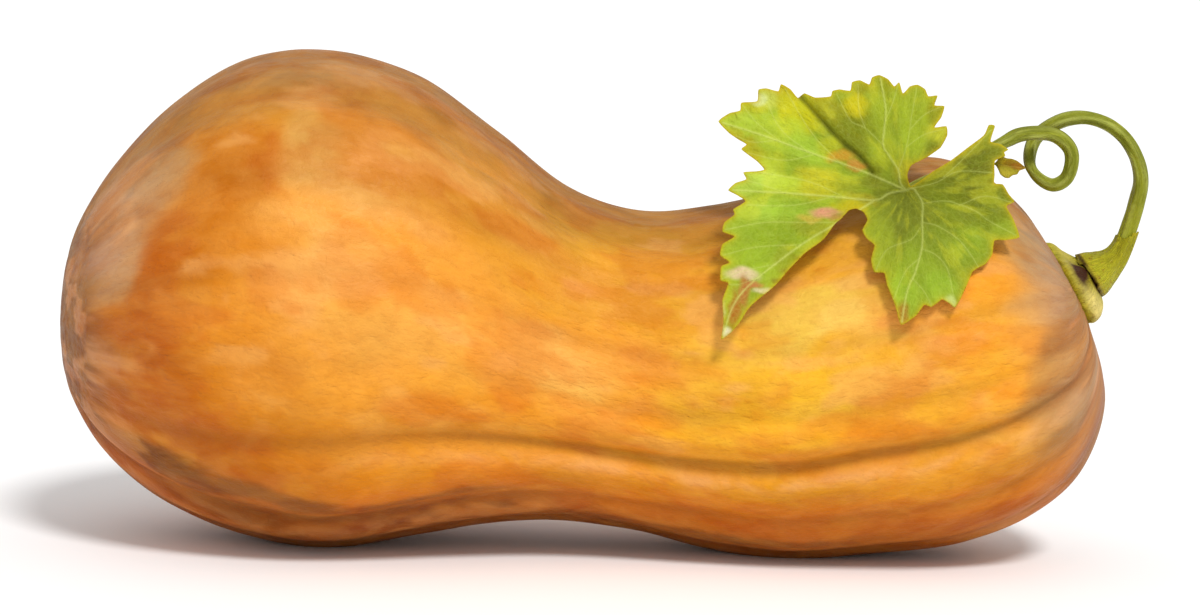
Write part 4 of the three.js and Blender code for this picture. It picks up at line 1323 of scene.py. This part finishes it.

# %% [markdown]
# Under the blade's streaks lies a net of tiny veins. The margin is a thin golden line, the fold
# gets painted shade, the veins are pale, and the underside is duller and paler than the top. Both
# leaves use this material, each with its own colours for veins and edge.

# %% Material: leaf
def make_leaf_material(name, vein_code, edge_code):
    material, tree, shader = start_material(name, 0.48, 0.12)
    place = object_place(tree)
    streaks = use_group(tree, streaks_group, Flow=mark(tree, "flow", "Vector"), Across=16.0, Along=3.0)
    broad, fine = streaks.outputs["Broad"], streaks.outputs["Fine"]
    net = use_group(tree, net_group, Place=place, Size=620.0)
    pores = use_group(tree, pores_group, Place=place, Size=2400.0, Share=0.3)
    colour = mark(tree, "tone", "Vector")
    colour = tinted(tree, colour, "5c7414", broad, 0.2)
    colour = tinted(tree, colour, "b6c644", fine, 0.12)
    colour = tinted(tree, colour, "a9a21c", pores.outputs["Freckles"], 0.1)
    colour = tinted(tree, colour, "b4c458", net.outputs["Net"], 0.09)
    colour = tinted(tree, colour, "b8a61c", mark(tree, "rim"), 0.22)
    colour = tinted(tree, colour, edge_code, mark(tree, "edge"), 0.85)
    # Painted shade along the fold where the two upper lobes meet.
    colour = tinted(tree, colour, "4e4f0c", mark(tree, "fold"), 0.6)
    colour = tinted(tree, colour, vein_code, mark(tree, "side_vein"), 0.3)
    colour = tinted(tree, colour, vein_code, mark(tree, "vein"), 0.5)
    colour = tinted(tree, colour, "b9c283", mark(tree, "under"), 0.5)
    finish_material(tree, shader, colour, broad, (0.42, 0.62))
    relief(tree, shader, [(net.outputs["Cells"], 0.00012), (fine, 0.0001)])
    return material


leaf_piece.data.materials.append(make_leaf_material("green_blade", "d0d872", "c2a90e"))

# %% [markdown]
# ## The young leaf
#
# A bud leaf, still cupped along its middle, grows on a short thread of a stalk from the vine. It is
# yellow-olive and scorched orange towards its tip.

# %% Build the young leaf
YOUNG_PLACE = (229, -23.6, 99.8)
YOUNG_MARGIN = [
    (-3.2, 0.5), (-0.6, 0.6), (0.2, 1.7), (1.1, 2.2), (2.2, 1.8), (3.4, 1.7), (4.6, 1.3), (5.6, 0.6),
    (6.9, -0.5), (5.4, -1.1), (4.8, -2.0), (3.7, -2.3), (2.8, -3.0), (1.8, -2.9), (0.8, -2.2), (0.2, -1.0),
    (-0.6, 0.1), (-3.2, 0.05),
]
YOUNG_SPACING = 0.13
YOUNG_THICKNESS = 0.3
# The cup: mm towards the showing side for each mm from the midrib, and how it flattens out.
CUP, CUP_EASE = 0.32, 0.05
YOUNG_RIPPLE_MM, YOUNG_RIPPLE_LENGTH = 0.7, 1.3
THREAD_BACK_MM = 0.35
YOUNG_MIDRIB = [(-3.2, 0.3), (0, 0.2), (3, -0.1), (6.8, -0.5)]
MIDRIB_HALF_WIDTH, MIDRIB_OFFSETS = 0.12, (-0.05, 0, 0.05)
YOUNG_EDGE_AND_RIM = (0.15, 0.6)
YOUNG_GROUND = "b5a428"
YOUNG_PATCHES = [
    (1, 0.8, 2.4, 1.4, "c2a41a", 0.9), (1.6, -1.8, 2.4, 1.4, "dcc83c", 0.9),
    (3.4, 0.6, 2, 1, "b8801c", 0.85), (5, 0, 1.8, 1, "b5651c", 0.9), (6.4, -0.4, 1, 0.7, "8f4a14", 0.9),
    (-2.4, 0.3, 2.4, 0.6, "8f9a2a", 0.95),
]


def young_leaf_points():
    margin = soft_margin(YOUNG_MARGIN, YOUNG_SPACING)[::-1]
    places, faces, away = filled(margin, YOUNG_SPACING, 91, [YOUNG_MIDRIB], MIDRIB_OFFSETS)
    right, rib = places[:, 0], gap_to_line(places, YOUNG_MIDRIB)
    ripple = YOUNG_RIPPLE_MM * flat_noise(places, YOUNG_RIPPLE_LENGTH, 0.0, 92)
    depth = YOUNG_PLACE[1] + 0.1 - CUP * rib + CUP_EASE * rib**2 + ripple * smooth_ramp(-1, 2, right)
    depth += THREAD_BACK_MM * smooth_ramp(0, -3.2, right)
    return places, faces, away, rib, depth


young_places, young_faces, young_away, young_rib, young_far = young_leaf_points()
nothing = np.zeros(len(young_places))
young_tone = painted(YOUNG_GROUND, young_places, YOUNG_PATCHES)
young_masks = blade_masks(
    young_tone, hill(young_rib, 0, MIDRIB_HALF_WIDTH), nothing, young_away,
    YOUNG_EDGE_AND_RIM, nothing, leaf_flow(young_places * 3),
)
young_front = sheet_points(young_places, young_far, YOUNG_PLACE)
young_back = sheet_points(young_places, young_far + YOUNG_THICKNESS, YOUNG_PLACE)
young_points, young_body = blade_body(young_front, young_back, young_faces)
young_piece = add_piece(
    "young_blade", in_scene(young_points), young_body, young_masks, "young_leaf"
)
young_piece.data.materials.append(make_leaf_material("scorched_blade", "c9ad4a", "a5851c"))

# %% [markdown]
# ## Floor, light and background
#
# A plain pale floor that runs far behind the piece, one large soft light from the upper right,
# where it throws the leaf's shadow down and to the left, and a weak even light all round.

# %% Floor
FLOOR_REACH = 30.0
FLOOR_WHITE = 0.97


def make_floor():
    mesh = bpy.data.meshes.new("floor")
    corners = [(-1, -1, 0), (1, -1, 0), (1, 1, 0), (-1, 1, 0)]
    mesh.from_pydata([tuple(FLOOR_REACH * v for v in corner) for corner in corners], [], [(0, 1, 2, 3)])
    floor = bpy.data.objects.new("floor", mesh)
    bpy.context.scene.collection.objects.link(floor)
    material, tree, shader = start_material("pale_floor", 0.9, 0.0)
    shader.inputs["Base Color"].default_value = (FLOOR_WHITE, FLOOR_WHITE, FLOOR_WHITE, 1)
    mesh.materials.append(material)


make_floor()

# %% Lights
KEY_STRENGTH, KEY_SPREAD = 2.0, math.radians(13)
KEY_SIDE, KEY_HEIGHT = math.radians(24), math.radians(50)
EVEN_LIGHT = 0.66


def make_lights():
    key = bpy.data.objects.new("key_light", bpy.data.lights.new("key_light", "SUN"))
    key.data.energy = KEY_STRENGTH
    key.data.angle = KEY_SPREAD
    level = math.cos(KEY_HEIGHT)
    towards = Vector((math.sin(KEY_SIDE) * level, -math.cos(KEY_SIDE) * level, math.sin(KEY_HEIGHT)))
    key.rotation_mode = "QUATERNION"
    key.rotation_quaternion = (-towards).to_track_quat("-Z", "Y")
    bpy.context.scene.collection.objects.link(key)
    world = bpy.data.worlds.new("studio")
    world.use_nodes = True
    background = world.node_tree.nodes["Background"]
    background.inputs["Color"].default_value = (1, 1, 1, 1)
    background.inputs["Strength"].default_value = EVEN_LIGHT
    bpy.context.scene.world = world


make_lights()
bpy.context.scene.view_settings.view_transform = "Standard"
